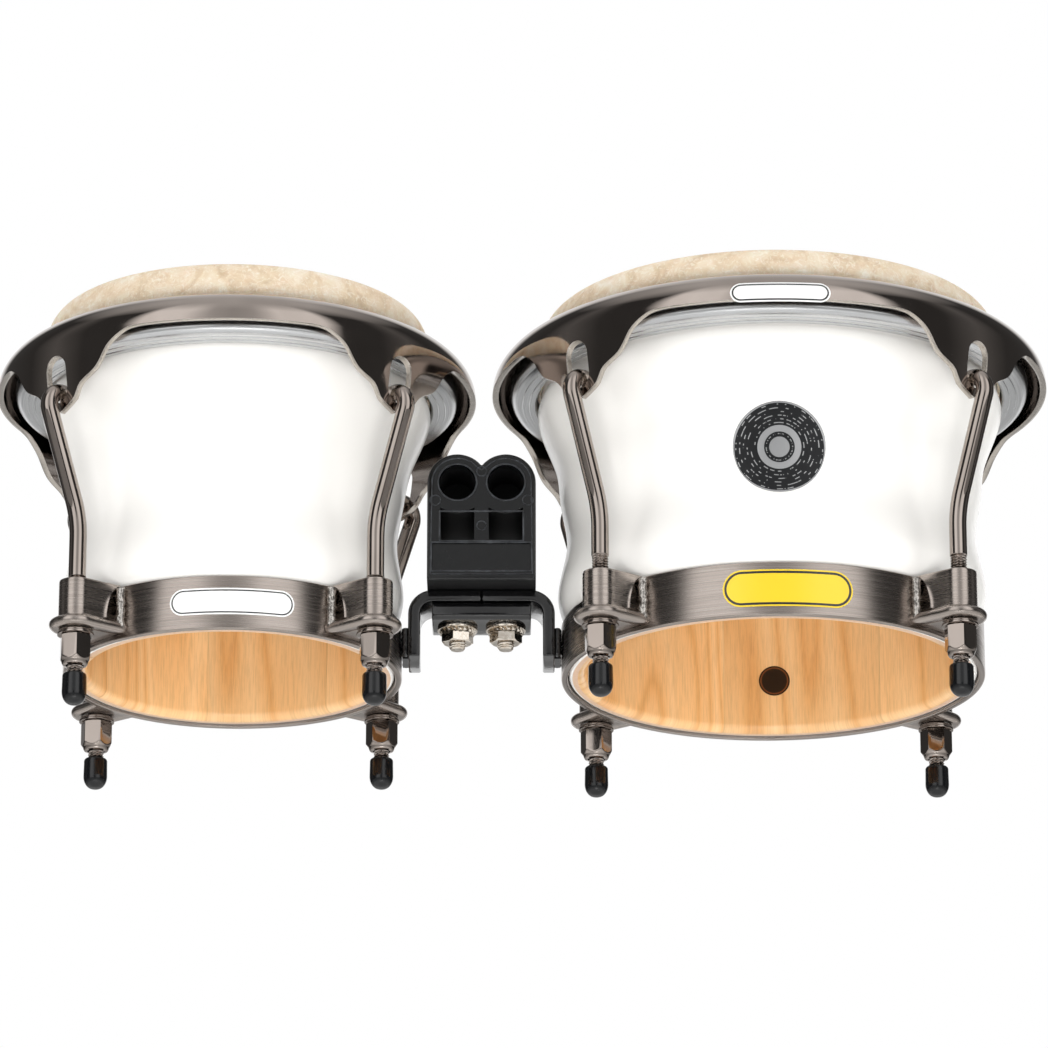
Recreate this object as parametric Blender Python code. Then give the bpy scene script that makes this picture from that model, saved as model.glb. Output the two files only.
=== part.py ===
"""Pair of bongo drums: a small drum (macho) and a large drum (hembra) on one clamped centre block.

Metres, +Z up. The drums stand on eight rubber caps on the floor at Z = 0, side by side along X,
with the player's side at -Y. The origin is on the floor, in the middle of the whole pair.
"""

import math
from dataclasses import dataclass

import bmesh
import bpy
from mathutils import Vector

# ---------------------------------------------------------------------------------------------
# Fits and fineness
# ---------------------------------------------------------------------------------------------
FIT = 0.0003                 # gap between pieces that touch
RUNNING_FIT = 0.0004         # gap round a rod in a hole that it slides through
MERGE = 0.00001
OVERCUT = 0.001              # how far a cutter reaches past the faces it opens
DRUM_FACETS = 32             # facets round a drum, a multiple of eight so that one falls on each hook
SMALL_FACETS = 12            # facets round a washer, a cap or a bore

# ---------------------------------------------------------------------------------------------
# Heights that both drums share, measured from the floor
# ---------------------------------------------------------------------------------------------
RIM_GAP = 0.0077             # least gap between the two rims
RING_GAP = 0.0735            # least gap between the two bottom rings, which takes the centre hardware
SHELL_FOOT_Z = 0.0335
RING_BOTTOM_Z = 0.0325
RING_TOP_Z = 0.0575
BELLY_Z = 0.072
WAIST_Z = 0.097
NECK_Z = 0.119
SHOULDER_Z = 0.136
MOUTH_Z = 0.158
COLLAR_Z = 0.168             # the shell steps in under the skin's collar here
BEARING_Z = 0.190            # the bearing edge starts to round here
SHELL_TOP_Z = 0.204

# ---------------------------------------------------------------------------------------------
# Shell, skin, flesh hoop and bottom ring
# ---------------------------------------------------------------------------------------------
SHELL_WALL = 0.008
SHELL_LIP_DROP = 0.002       # the inside of the bearing edge is this much lower than its top
BEARING_ROUND = 0.0066       # how far the bearing edge rounds inwards
BEARING_STEP = 0.0013        # the shell is turned down by this much under the collar
SKIN = 0.0012
HOOP_WIDTH = 0.0125
HOOP_HEIGHT = 0.0145
HOOP_ROUND = 0.0045
HOOP_CROWN = 0.0072          # height of the rounding at the top of the hoop
HOOP_DROP = 0.0225           # from the top of the rim down to the bottom of the hoop
RING_WALL = 0.003
RING_TO_SHELL = 0.0005

# ---------------------------------------------------------------------------------------------
# Rim: a pressed steel band with four ears
# ---------------------------------------------------------------------------------------------
RIM_SHEET = 0.003
RIM_OVERHANG = 0.0216        # from the shell's mouth out to the rim's widest radius
RIM_MOUTH_GAP = 0.0011       # between the collar and the rim's mouth
RIM_CROWN = 0.017            # from the top of the rim down to its widest radius
RIM_TUCK = 0.130             # radius at which the wall below the crown curls back inwards
RIM_EDGE_DROP = 0.0184       # from the top of the rim down to the cut edge between the ears
EAR_DROP = 0.0505            # from the top of the rim down to the tip of an ear
EAR_TIP_HALF = 0.0095
EAR_TIP_RISE = 0.0042        # each rise is measured up from the tip of the ear
EAR_WAIST_HALF = 0.0146
EAR_WAIST_RISE = 0.0103
EAR_SHOULDER_HALF = 0.0245
EAR_SHOULDER_RISE = 0.016
EAR_ROOT_HALF = 0.0315
EAR_ROOT_RISE = 0.0253
EAR_FADE_HALF = 0.040
EAR_FADE_RISE = 0.0308
EAR_RUNOUT_HALF = 0.048
SLOT_WIDTH = 0.0125
SLOT_TOP_DROP = 0.0245
HOOK_SEAT_DROP = 0.0458      # from the top of the rim down to the bottom of the hook's slot

# ---------------------------------------------------------------------------------------------
# Tension hooks, nuts, washers, lugs and rubber caps
# ---------------------------------------------------------------------------------------------
HOOKS_PER_DRUM = 4
FIRST_HOOK_DEG = -135.0      # azimuth of the first hook, seen from above
ROD_RADIUS = 0.004
ROD_FOOT_Z = 0.0027
ROD_BEND_Z = 0.088
ROD_EASE = 0.0065            # length of the eased bend on each side of ROD_BEND_Z
HOOK_BEND = ROD_RADIUS + RIM_SHEET  # on the rod's centre line; bent round a former as thick as the rim
HOOK_END_DEG = 145.0         # the bend stops here, counted up from level and over the rim's edge
CAP_WALL = 0.00105
CAP_TOP_Z = 0.0147
CAP_TIP_FLAT = 0.0022
CAP_EDGE = 0.0009
NUT_ACROSS_FLATS = 0.013
NUT_BOTTOM_Z = 0.0182
NUT_NECK = 0.0026
NUT_NECK_WALL = 0.0008
NUT_CHAMFER = 0.0006
NUT_TOP_Z = 0.0323
WASHER_RADIUS = 0.008
WASHER_THICKNESS = 0.0017
LUG_TOP_Z = 0.058
LUG_RADIUS = 0.008
LUG_SPREAD = 0.010           # half-width of the lug where it meets the ring
LUG_SHEET = 0.0028
LUG_LIP = 0.0038
LUG_LIP_HEIGHT = 0.0056
LUG_EDGE = 0.0007

# ---------------------------------------------------------------------------------------------
# Centre hardware: block, two arms, clamp plate, two bolts with nuts
# ---------------------------------------------------------------------------------------------
BLOCK_BOTTOM_Z = 0.0723
BLOCK_FOOT_HEIGHT = 0.003
BLOCK_FOOT_INSET = 0.0025
BLOCK_HALF_DEPTH = 0.028
BLOCK_BORE_Z = 0.1193
BLOCK_LOBE_RADIUS = 0.01385
BLOCK_BORE_RADIUS = 0.008
BLOCK_WEB = 0.006            # web left between the front and the rear bores
BLOCK_POCKET_WIDTH = 0.0155
BLOCK_POCKET_BOTTOM_Z = 0.0912
BLOCK_POCKET_TOP_Z = 0.1062
BLOCK_POCKET_SAG = 0.0015    # the pocket's roof hangs down by this much in the middle
PANEL_HALF_WIDTH = 0.0227
PANEL_BOTTOM_Z = 0.0758
PANEL_TOP_Z = 0.0895
PANEL_DEPTH = 0.0008
BOLT_HALF_PITCH = 0.01115
BOLT_RADIUS = 0.004
BOLT_FOOT_Z = 0.047
BOLT_HEAD_HEIGHT = 0.0053
BOLT_TIP_RADIUS = 0.0031
CLAMP_NUT_BOTTOM_Z = 0.0505
CLAMP_NUT_FLANGE = 0.0086
CLAMP_NUT_FLANGE_HEIGHT = 0.0014
CLAMP_NUT_CHAMFER = 0.001
CLAMP_NUT_TURN_DEG = 15.0
PLATE_WIDTH = 0.0456
PLATE_DEPTH = 0.028
PLATE_BOTTOM_Z = 0.0578
PLATE_HEIGHT = 0.0084
PLATE_ROUND = 0.0028
ARM_THICKNESS = 0.0055
ARM_DEPTH = 0.027
ARM_FOOT_Z = 0.040
ARM_BEND = 0.0115            # outer radius of the arm's shoulder
ARM_STANDOFF = 0.003         # from the ring to the arm's leg, filled by the weld pad
WELD_PAD_HALF_DEPTH = 0.007
WELD_PAD_BOTTOM_Z = 0.041
WELD_PAD_TOP_Z = 0.055
ARM_GAP = 0.0012             # between the two arms under the block

# ---------------------------------------------------------------------------------------------
# Badge on the front of the large drum
# ---------------------------------------------------------------------------------------------
BADGE_RADIUS = 0.021
BADGE_Z = 0.112
BADGE_THICKNESS = 0.0006


@dataclass(frozen=True)
class Drum:
    """The sizes that differ between the two drums. Belly, waist, neck, mouth and ring are outer radii."""

    name: str
    belly: float
    waist: float
    neck: float
    flare: float
    mouth: float
    ring: float
    lug_reach: float
    rim_top: float

    @property
    def lug_circle(self):
        """Radius of the circle that the tension rods stand on."""
        return self.ring + self.lug_reach

    @property
    def shoulder(self):
        """Outer radius of the shell below its flare to the mouth."""
        return self.mouth - self.flare

    @property
    def rim(self):
        """Widest radius of the rim."""
        return self.mouth + RIM_OVERHANG


MACHO = Drum("macho", 0.0785, 0.0754, 0.0784, 0.0084, 0.0902, 0.0780, 0.0171, 0.1863)
HEMBRA = Drum("hembra", 0.0989, 0.0947, 0.0977, 0.0080, 0.1079, 0.0975, 0.0163, 0.1890)

DRUM_SPACING = max(MACHO.rim + HEMBRA.rim + RIM_GAP, MACHO.ring + HEMBRA.ring + RING_GAP)
MACHO_X = -(DRUM_SPACING + HEMBRA.rim - MACHO.rim) / 2
HEMBRA_X = MACHO_X + DRUM_SPACING
GAP_LEFT_X = MACHO_X + MACHO.ring
GAP_RIGHT_X = HEMBRA_X - HEMBRA.ring
CENTRE_X = (GAP_LEFT_X + GAP_RIGHT_X) / 2
GAP_HALF = (GAP_RIGHT_X - GAP_LEFT_X) / 2


# ---------------------------------------------------------------------------------------------
# Helpers
# ---------------------------------------------------------------------------------------------
def bearing_radius(drum):
    """Outer radius of the shell inside the skin's collar."""
    return drum.mouth - BEARING_STEP


def collar_radius(drum):
    """Outer radius of the skin's collar, which the hoop slides round."""
    return bearing_radius(drum) + FIT + SKIN


def arc(centre, radii, start_deg, end_deg, steps):
    """Points along an elliptical arc, both ends included."""
    points = []
    for i in range(steps + 1):
        angle = math.radians(start_deg + (end_deg - start_deg) * i / steps)
        points.append((centre[0] + radii[0] * math.cos(angle), centre[1] + radii[1] * math.sin(angle)))
    return points


def smooth_through(stations, steps):
    """Points along a Catmull-Rom curve through the stations, both ends included."""
    padded = [stations[0]] + list(stations) + [stations[-1]]
    points = []
    for i in range(1, len(padded) - 2):
        before, start, end, after = (Vector(p) for p in padded[i - 1:i + 3])
        for step in range(steps):
            t = step / steps
            point = 0.5 * (
                2 * start
                + (end - before) * t
                + (2 * before - 5 * start + 4 * end - after) * t ** 2
                + (3 * start - before - 3 * end + after) * t ** 3
            )
            points.append(tuple(point))
    points.append(tuple(stations[-1]))
    return points


def material(name, colour, roughness, metallic=0.0):
    """A plain finish, shared by the pieces that are made of it."""
    finish = bpy.data.materials.new(name)
    finish.use_nodes = True
    shader = finish.node_tree.nodes["Principled BSDF"]
    shader.inputs["Base Color"].default_value = (*colour, 1.0)
    shader.inputs["Roughness"].default_value = roughness
    shader.inputs["Metallic"].default_value = metallic
    finish.diffuse_color = (*colour, 1.0)
    return finish


def empty(name, location, parent=None, turn_deg=0.0):
    """An axis or a centre that pieces are placed on."""
    holder = bpy.data.objects.new(name, None)
    holder.location = location
    holder.rotation_euler.z = math.radians(turn_deg)
    holder.parent = parent
    bpy.context.scene.collection.objects.link(holder)
    return holder


def add_object(name, data, finish, parent, location=(0, 0, 0)):
    """Link one piece into the scene on its holder."""
    piece = bpy.data.objects.new(name, data)
    piece.parent = parent
    piece.location = location
    if finish is not None:
        data.materials.append(finish)
    bpy.context.scene.collection.objects.link(piece)
    return piece


def to_mesh(name, bm):
    """Close a bmesh into a mesh whose faces point out."""
    bmesh.ops.remove_doubles(bm, verts=bm.verts, dist=MERGE)
    bmesh.ops.recalc_face_normals(bm, faces=bm.faces)
    mesh = bpy.data.meshes.new(name)
    bm.to_mesh(mesh)
    bm.free()
    mesh.shade_smooth()
    mesh.set_sharp_from_angle(angle=math.radians(35))
    return mesh


def turned_mesh(name, outline, facets):
    """Spin a closed outline of (radius, height) points round the upright axis."""
    bm = bmesh.new()
    verts = [bm.verts.new((radius, 0, height)) for radius, height in outline]
    edges = [bm.edges.new((verts[i - 1], verts[i])) for i in range(len(verts))]
    bmesh.ops.spin(
        bm, geom=verts + edges, cent=(0, 0, 0), axis=(0, 0, 1), dvec=(0, 0, 0),
        angle=math.tau, steps=facets, use_merge=True, use_duplicate=False,
    )
    return to_mesh(name, bm)


def lofted_mesh(name, levels):
    """Join equal loops of points, level by level, and close both ends."""
    bm = bmesh.new()
    loops = []
    for level in levels:
        verts = [bm.verts.new(point) for point in level]
        loops.append([bm.edges.new((verts[i - 1], verts[i])) for i in range(len(verts))])
    for lower, upper in zip(loops, loops[1:]):
        bmesh.ops.bridge_loops(bm, edges=lower + upper)
    bmesh.ops.holes_fill(bm, edges=loops[0] + loops[-1], sides=0)
    return to_mesh(name, bm)


def prism_levels(outline, low, high, axis="Z"):
    """Two equal loops of an outline, at both ends of an extrusion along Z or Y."""
    if axis == "Z":
        return [[(a, b, level) for a, b in outline] for level in (low, high)]
    return [[(a, level, b) for a, b in outline] for level in (low, high)]


def polygon(radius, sides, turn_deg=0.0):
    """Corner points of a regular polygon."""
    return [
        (radius * math.cos(math.radians(turn_deg + 360 * i / sides)),
         radius * math.sin(math.radians(turn_deg + 360 * i / sides)))
        for i in range(sides)
    ]


def bore_corner(radius):
    """Corner radius of a faceted bore whose flats clear a rod of this radius."""
    return (radius + RUNNING_FIT) / math.cos(math.pi / SMALL_FACETS)


def bore_levels(rod_radius, low, high, x=0.0):
    """Upright bore for a rod, reaching past both faces that it opens."""
    outline = [(x + a, b) for a, b in polygon(bore_corner(rod_radius), SMALL_FACETS)]
    return prism_levels(outline, low - OVERCUT, high + OVERCUT)


def cutter(name, mesh, parent, location=(0, 0, 0)):
    """A shape that only cuts others and is not a piece itself."""
    tool = add_object(name, mesh, None, parent, location)
    tool.hide_render = True
    tool.display_type = "WIRE"
    return tool


def cut(piece, tool, operation="DIFFERENCE"):
    """Combine a piece with another shape through an exact Boolean."""
    modifier = piece.modifiers.new(tool.name, "BOOLEAN")
    modifier.operation = operation
    modifier.object = tool
    modifier.solver = "EXACT"


# ---------------------------------------------------------------------------------------------
# Turned pieces of one drum
# ---------------------------------------------------------------------------------------------
def shell_side(drum):
    """Outer side of the shell as (radius, height), from the bottom ring up to the collar."""
    foot = drum.ring - RING_WALL - RING_TO_SHELL
    stations = [
        (foot, RING_TOP_Z),
        (drum.belly, BELLY_Z),
        (drum.waist, WAIST_Z),
        (drum.neck, NECK_Z),
        (drum.shoulder, SHOULDER_Z),
        (drum.mouth, MOUTH_Z),
        (bearing_radius(drum), COLLAR_Z),
    ]
    return smooth_through(stations, 2)


def make_shell(drum, holder, finish):
    """Turned wooden shell with a rounded bearing edge at the top."""
    foot = drum.ring - RING_WALL - RING_TO_SHELL
    side = shell_side(drum)
    edge = bearing_radius(drum)
    rounding = arc((edge - BEARING_ROUND, BEARING_Z), (BEARING_ROUND, SHELL_TOP_Z - BEARING_Z), 0, 90, 3)
    outer = [(foot, SHELL_FOOT_Z)] + side + rounding
    inner_top = (edge - SHELL_WALL, SHELL_TOP_Z - SHELL_LIP_DROP)
    inner = [(radius - SHELL_WALL, height) for radius, height in reversed(side[::2])]
    outline = outer + [inner_top] + inner + [(foot - SHELL_WALL, SHELL_FOOT_Z)]
    mesh = turned_mesh(f"{drum.name}_shell", outline, DRUM_FACETS)
    add_object(f"{drum.name}_shell", mesh, finish, holder)


def make_head(drum, holder, finish):
    """Skin across the bearing edge, with a collar that runs down inside the hoop."""
    edge = bearing_radius(drum)
    centre = (edge - BEARING_ROUND, BEARING_Z)
    under = (BEARING_ROUND + FIT, SHELL_TOP_Z - BEARING_Z + FIT)
    over = (under[0] + SKIN, under[1] + SKIN)
    collar_foot = drum.rim_top - HOOP_DROP + HOOP_ROUND
    outline = [(0, BEARING_Z + over[1])]
    outline += list(reversed(arc(centre, over, 0, 90, 4)))
    outline += [(centre[0] + over[0], collar_foot), (centre[0] + under[0], collar_foot)]
    outline += arc(centre, under, 0, 90, 3)
    outline += [(0, BEARING_Z + under[1])]
    mesh = turned_mesh(f"{drum.name}_head", outline, DRUM_FACETS)
    add_object(f"{drum.name}_head", mesh, finish, holder)


def make_flesh_hoop(drum, holder, finish):
    """Rounded metal hoop round the collar, which the rim presses down."""
    inner = collar_radius(drum) + FIT
    outer = inner + HOOP_WIDTH
    bottom = drum.rim_top - HOOP_DROP
    top = bottom + HOOP_HEIGHT
    outline = [(inner, top), (inner, bottom)]
    outline += arc((outer - HOOP_ROUND, bottom + HOOP_ROUND), (HOOP_ROUND, HOOP_ROUND), -90, 0, 2)
    outline += arc((inner + HOOP_ROUND, top - HOOP_CROWN), (HOOP_WIDTH - HOOP_ROUND, HOOP_CROWN), 0, 90, 2)
    mesh = turned_mesh(f"{drum.name}_flesh_hoop", outline, DRUM_FACETS)
    add_object(f"{drum.name}_flesh_hoop", mesh, finish, holder)


def make_bottom_ring(drum, holder, finish):
    """Flat steel ring round the foot of the shell, which carries the lugs."""
    inner = drum.ring - RING_WALL
    outline = [
        (drum.ring, RING_BOTTOM_Z),
        (drum.ring, RING_TOP_Z),
        (inner, RING_TOP_Z),
        (inner, RING_BOTTOM_Z),
    ]
    mesh = turned_mesh(f"{drum.name}_bottom_ring", outline, DRUM_FACETS)
    add_object(f"{drum.name}_bottom_ring", mesh, finish, holder)


# ---------------------------------------------------------------------------------------------
# Rim
# ---------------------------------------------------------------------------------------------
def rim_wall_radius(drum, height):
    """Outer radius of the rim's wall below its crown, at a height."""
    below = max(0.0, drum.rim_top - RIM_CROWN - height)
    return drum.rim - below ** 2 / (2 * RIM_TUCK)


def ear_edge():
    """Half of an ear's cut edge, as (half-width, drop below the rim's top), tip first."""
    stations = [
        (0.0, EAR_DROP),
        (EAR_TIP_HALF, EAR_DROP - EAR_TIP_RISE),
        (EAR_WAIST_HALF, EAR_DROP - EAR_WAIST_RISE),
        (EAR_SHOULDER_HALF, EAR_DROP - EAR_SHOULDER_RISE),
        (EAR_ROOT_HALF, EAR_DROP - EAR_ROOT_RISE),
        (EAR_FADE_HALF, EAR_DROP - EAR_FADE_RISE),
        (EAR_RUNOUT_HALF, RIM_EDGE_DROP),
    ]
    return smooth_through(stations, 2)


def rim_edge_columns(drum):
    """The rim's cut edge once round, as (azimuth, drop) in order."""
    quarter = math.tau / HOOKS_PER_DRUM
    half = [(width / drum.rim, drop) for width, drop in ear_edge()]
    straight = [(quarter / 2, RIM_EDGE_DROP)]
    one_ear = [(-azimuth, drop) for azimuth, drop in reversed(half[1:])] + half + straight
    columns = []
    for ear in range(HOOKS_PER_DRUM):
        middle = math.radians(FIRST_HOOK_DEG) + ear * quarter
        columns += [(middle + azimuth, drop) for azimuth, drop in one_ear]
    return columns


def make_rim(drum, holder, finish):
    """Pressed band over the hoop, with four ears that the hooks pull on."""
    inner_mouth = collar_radius(drum) + RIM_MOUTH_GAP
    crown_z = drum.rim_top - RIM_CROWN
    profile = arc((inner_mouth, crown_z), (drum.rim - inner_mouth, RIM_CROWN), 90, 0, 5)
    ear_foot = drum.rim_top - EAR_DROP - OVERCUT
    for step in (1, 2, 3):
        height = crown_z + (ear_foot - crown_z) * step / 3
        profile.append((rim_wall_radius(drum, height), height))
    bm = bmesh.new()
    verts = [bm.verts.new((radius, 0, height)) for radius, height in profile]
    edges = [bm.edges.new(pair) for pair in zip(verts, verts[1:])]
    bmesh.ops.spin(
        bm, geom=verts + edges, cent=(0, 0, 0), axis=(0, 0, 1), dvec=(0, 0, 0),
        angle=math.tau, steps=DRUM_FACETS, use_merge=True, use_duplicate=False,
    )
    mesh = to_mesh(f"{drum.name}_rim", bm)
    rim = add_object(f"{drum.name}_rim", mesh, finish, holder)
    sheet = rim.modifiers.new("sheet", "SOLIDIFY")
    sheet.thickness = RIM_SHEET
    sheet.offset = -1
    sheet.use_even_offset = True
    cut(rim, make_edge_cutter(drum, holder))
    for index in range(HOOKS_PER_DRUM):
        cut(rim, make_slot_cutter(drum, holder, index))


def make_edge_cutter(drum, holder):
    """Everything below the rim's cut edge, as one wavy ring."""
    inside = bearing_radius(drum) + RIM_SHEET
    outside = drum.rim + RIM_SHEET
    below = drum.rim_top - EAR_DROP - RIM_SHEET
    columns = rim_edge_columns(drum)
    bm = bmesh.new()
    sections = []
    for azimuth, drop in columns:
        direction = Vector((math.cos(azimuth), math.sin(azimuth), 0))
        edge_z = drum.rim_top - drop
        corners = [(inside, below), (outside, below), (outside, edge_z), (inside, edge_z)]
        sections.append([
            bm.verts.new(direction * radius + Vector((0, 0, height))) for radius, height in corners
        ])
    for index, section in enumerate(sections):
        before = sections[index - 1]
        for corner in range(4):
            following = (corner + 1) % 4
            bm.faces.new((before[corner], section[corner], section[following], before[following]))
    return cutter(f"{drum.name}_edge_cutter", to_mesh(f"{drum.name}_edge_cutter", bm), holder)


def make_slot_cutter(drum, holder, index):
    """Upright round-ended slot through one ear."""
    azimuth = math.radians(FIRST_HOOK_DEG + index * 360 / HOOKS_PER_DRUM)
    half = SLOT_WIDTH / 2
    top = drum.rim_top - SLOT_TOP_DROP - half
    bottom = drum.rim_top - HOOK_SEAT_DROP + half
    outline = arc((0, top), (half, half), 0, 180, 6) + arc((0, bottom), (half, half), 180, 360, 6)
    outward = Vector((math.cos(azimuth), math.sin(azimuth), 0))
    sideways = Vector((-math.sin(azimuth), math.cos(azimuth), 0))
    levels = []
    for radius in (bearing_radius(drum) + RIM_SHEET, drum.rim + RIM_SHEET):
        levels.append([
            outward * radius + sideways * across + Vector((0, 0, height)) for across, height in outline
        ])
    name = f"{drum.name}_slot_cutter_{index + 1}"
    return cutter(name, lofted_mesh(name, levels), holder)


# ---------------------------------------------------------------------------------------------
# Tension hooks and what sits on them. Local X points away from the drum.
# ---------------------------------------------------------------------------------------------
def hook_line(drum):
    """The hook rod's centre line as (distance outside the lug circle, height), foot first."""
    inside_bend = HOOK_BEND - ROD_RADIUS
    sag = inside_bend - math.sqrt(inside_bend ** 2 - (RIM_SHEET / 2) ** 2)
    seat_z = drum.rim_top - HOOK_SEAT_DROP + sag + RUNNING_FIT
    bend_z = seat_z + ROD_RADIUS - HOOK_BEND
    seat_radius = rim_wall_radius(drum, seat_z) - RIM_SHEET / 2 - drum.lug_circle
    reach = Vector((seat_radius, bend_z - ROD_BEND_Z))
    tangent = math.sqrt(reach.length_squared - HOOK_BEND ** 2)
    lean = math.atan2(reach.x, reach.y) + math.atan2(HOOK_BEND, tangent)
    start_deg = -math.degrees(lean)
    eased = (math.sin(lean) * ROD_EASE, ROD_BEND_Z + math.cos(lean) * ROD_EASE)
    line = [(0.0, ROD_FOOT_Z), (0.0, ROD_BEND_Z - ROD_EASE), (eased[0] / 6, ROD_BEND_Z), eased]
    return line + arc((seat_radius, bend_z), (HOOK_BEND, HOOK_BEND), start_deg, HOOK_END_DEG, 8)


def make_hook(drum, lug, index, finish):
    """Steel rod bent over into a hook, threaded at its foot."""
    curve = bpy.data.curves.new(f"{drum.name}_tension_hook_{index}", "CURVE")
    curve.dimensions = "3D"
    curve.bevel_depth = ROD_RADIUS
    curve.bevel_resolution = 2
    curve.use_fill_caps = True
    line = hook_line(drum)
    spline = curve.splines.new("POLY")
    spline.points.add(len(line) - 1)
    for point, (outward, height) in zip(spline.points, line):
        point.co = (outward, 0, height, 1)
    add_object(f"{drum.name}_tension_hook_{index}", curve, finish, lug)


def make_cap(drum, lug, index, finish):
    """Rubber cap pushed over the rod's foot, which the drum stands on."""
    bore = bore_corner(ROD_RADIUS)
    side = bore + CAP_WALL
    floor = ROD_FOOT_Z - FIT
    dome = arc((CAP_TIP_FLAT, side), (side - CAP_TIP_FLAT, side), -90, 0, 3)
    outline = [(0, 0)] + dome + [(side, CAP_TOP_Z - CAP_EDGE), (side - CAP_EDGE, CAP_TOP_Z)]
    outline += [(bore, CAP_TOP_Z), (bore, floor), (0, floor)]
    name = f"{drum.name}_rubber_cap_{index}"
    add_object(name, turned_mesh(name, outline, SMALL_FACETS), finish, lug)


def make_nut(drum, lug, index, finish):
    """Long tuning nut: a hexagon with a round neck below it."""
    corner = NUT_ACROSS_FLATS / math.sqrt(3)
    hexagon_foot = NUT_BOTTOM_Z + NUT_NECK
    steps = (
        (NUT_BOTTOM_Z, bore_corner(ROD_RADIUS) + NUT_NECK_WALL),
        (hexagon_foot, corner - NUT_CHAMFER),
        (hexagon_foot + NUT_CHAMFER, corner),
        (NUT_TOP_Z - NUT_CHAMFER, corner),
        (NUT_TOP_Z, corner - NUT_CHAMFER),
    )
    levels = [[(x, y, height) for x, y in polygon(radius, 6)] for height, radius in steps]
    name = f"{drum.name}_tuning_nut_{index}"
    nut = add_object(name, lofted_mesh(name, levels), finish, lug)
    bore = bore_levels(ROD_RADIUS, NUT_BOTTOM_Z, NUT_TOP_Z)
    cut(nut, cutter(f"{name}_bore_cutter", lofted_mesh(f"{name}_bore_cutter", bore), lug))


def make_washer(drum, lug, index, finish):
    """Flat washer between the tuning nut and the lug."""
    bottom = NUT_TOP_Z + FIT
    top = bottom + WASHER_THICKNESS
    bore = bore_corner(ROD_RADIUS)
    outline = [(WASHER_RADIUS, bottom), (WASHER_RADIUS, top), (bore, top), (bore, bottom)]
    name = f"{drum.name}_washer_{index}"
    add_object(name, turned_mesh(name, outline, SMALL_FACETS), finish, lug)


def lug_outline(reach, growth):
    """U-shaped outline round the rod, open towards the drum, grown outwards by an amount."""
    nose = arc((0, 0), (LUG_RADIUS + growth, LUG_RADIUS + growth), -90, 90, 6)
    return [(-reach, -LUG_SPREAD - growth)] + nose + [(-reach, LUG_SPREAD + growth)]


def make_lug(drum, lug, index, finish):
    """Pressed lug on the bottom ring: a U-shaped wall on a plate with a rolled lip."""
    bottom = NUT_TOP_Z + FIT + WASHER_THICKNESS + FIT
    reach = drum.lug_circle - drum.ring - FIT
    lip_top = bottom + LUG_LIP_HEIGHT
    steps = (
        (bottom, LUG_LIP / 2),
        (bottom + LUG_LIP_HEIGHT / 3, LUG_LIP),
        (bottom + LUG_LIP_HEIGHT * 2 / 3, LUG_LIP),
        (lip_top, 0.0),
        (LUG_TOP_Z - LUG_EDGE, 0.0),
        (LUG_TOP_Z, -LUG_EDGE),
    )
    levels = [[(x, y, height) for x, y in lug_outline(reach, growth)] for height, growth in steps]
    name = f"{drum.name}_lug_bracket_{index}"
    bracket = add_object(name, lofted_mesh(name, levels), finish, lug)
    hollow = prism_levels(lug_outline(reach + OVERCUT, -LUG_SHEET), bottom + LUG_SHEET, LUG_TOP_Z + OVERCUT)
    cut(bracket, cutter(f"{name}_hollow_cutter", lofted_mesh(f"{name}_hollow_cutter", hollow), lug))
    bore = bore_levels(ROD_RADIUS, bottom, bottom + LUG_SHEET)
    cut(bracket, cutter(f"{name}_bore_cutter", lofted_mesh(f"{name}_bore_cutter", bore), lug))


def make_drum(drum, x, finishes):
    """One whole drum round its own axis."""
    holder = empty(f"{drum.name}_axis", (x, 0, 0))
    make_shell(drum, holder, finishes["lacquered_wood"])
    make_head(drum, holder, finishes["skin"])
    make_flesh_hoop(drum, holder, finishes["zinc"])
    make_rim(drum, holder, finishes["gloss_black_nickel"])
    make_bottom_ring(drum, holder, finishes["brushed_black_nickel"])
    for index in range(HOOKS_PER_DRUM):
        azimuth_deg = FIRST_HOOK_DEG + index * 360 / HOOKS_PER_DRUM
        azimuth = math.radians(azimuth_deg)
        place = (drum.lug_circle * math.cos(azimuth), drum.lug_circle * math.sin(azimuth), 0)
        lug = empty(f"{drum.name}_hook_axis_{index + 1}", place, holder, azimuth_deg)
        make_hook(drum, lug, index + 1, finishes["gloss_black_nickel"])
        make_cap(drum, lug, index + 1, finishes["rubber"])
        make_nut(drum, lug, index + 1, finishes["gloss_black_nickel"])
        make_washer(drum, lug, index + 1, finishes["gloss_black_nickel"])
        make_lug(drum, lug, index + 1, finishes["brushed_black_nickel"])
    return holder


# ---------------------------------------------------------------------------------------------
# Centre hardware
# ---------------------------------------------------------------------------------------------
def block_outline():
    """The block's front view as (across, height): straight sides under two round lobes."""
    half = BOLT_HALF_PITCH + BLOCK_LOBE_RADIUS
    notch_deg = math.degrees(math.acos(BOLT_HALF_PITCH / BLOCK_LOBE_RADIUS))
    lobe = (BLOCK_LOBE_RADIUS, BLOCK_LOBE_RADIUS)
    right = arc((BOLT_HALF_PITCH, BLOCK_BORE_Z), lobe, 0, 180 - notch_deg, 6)
    left = arc((-BOLT_HALF_PITCH, BLOCK_BORE_Z), lobe, notch_deg, 180, 6)
    foot_z = BLOCK_BOTTOM_Z + BLOCK_FOOT_HEIGHT
    return [(half, foot_z)] + right + left[1:] + [(-half, foot_z)]


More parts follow.
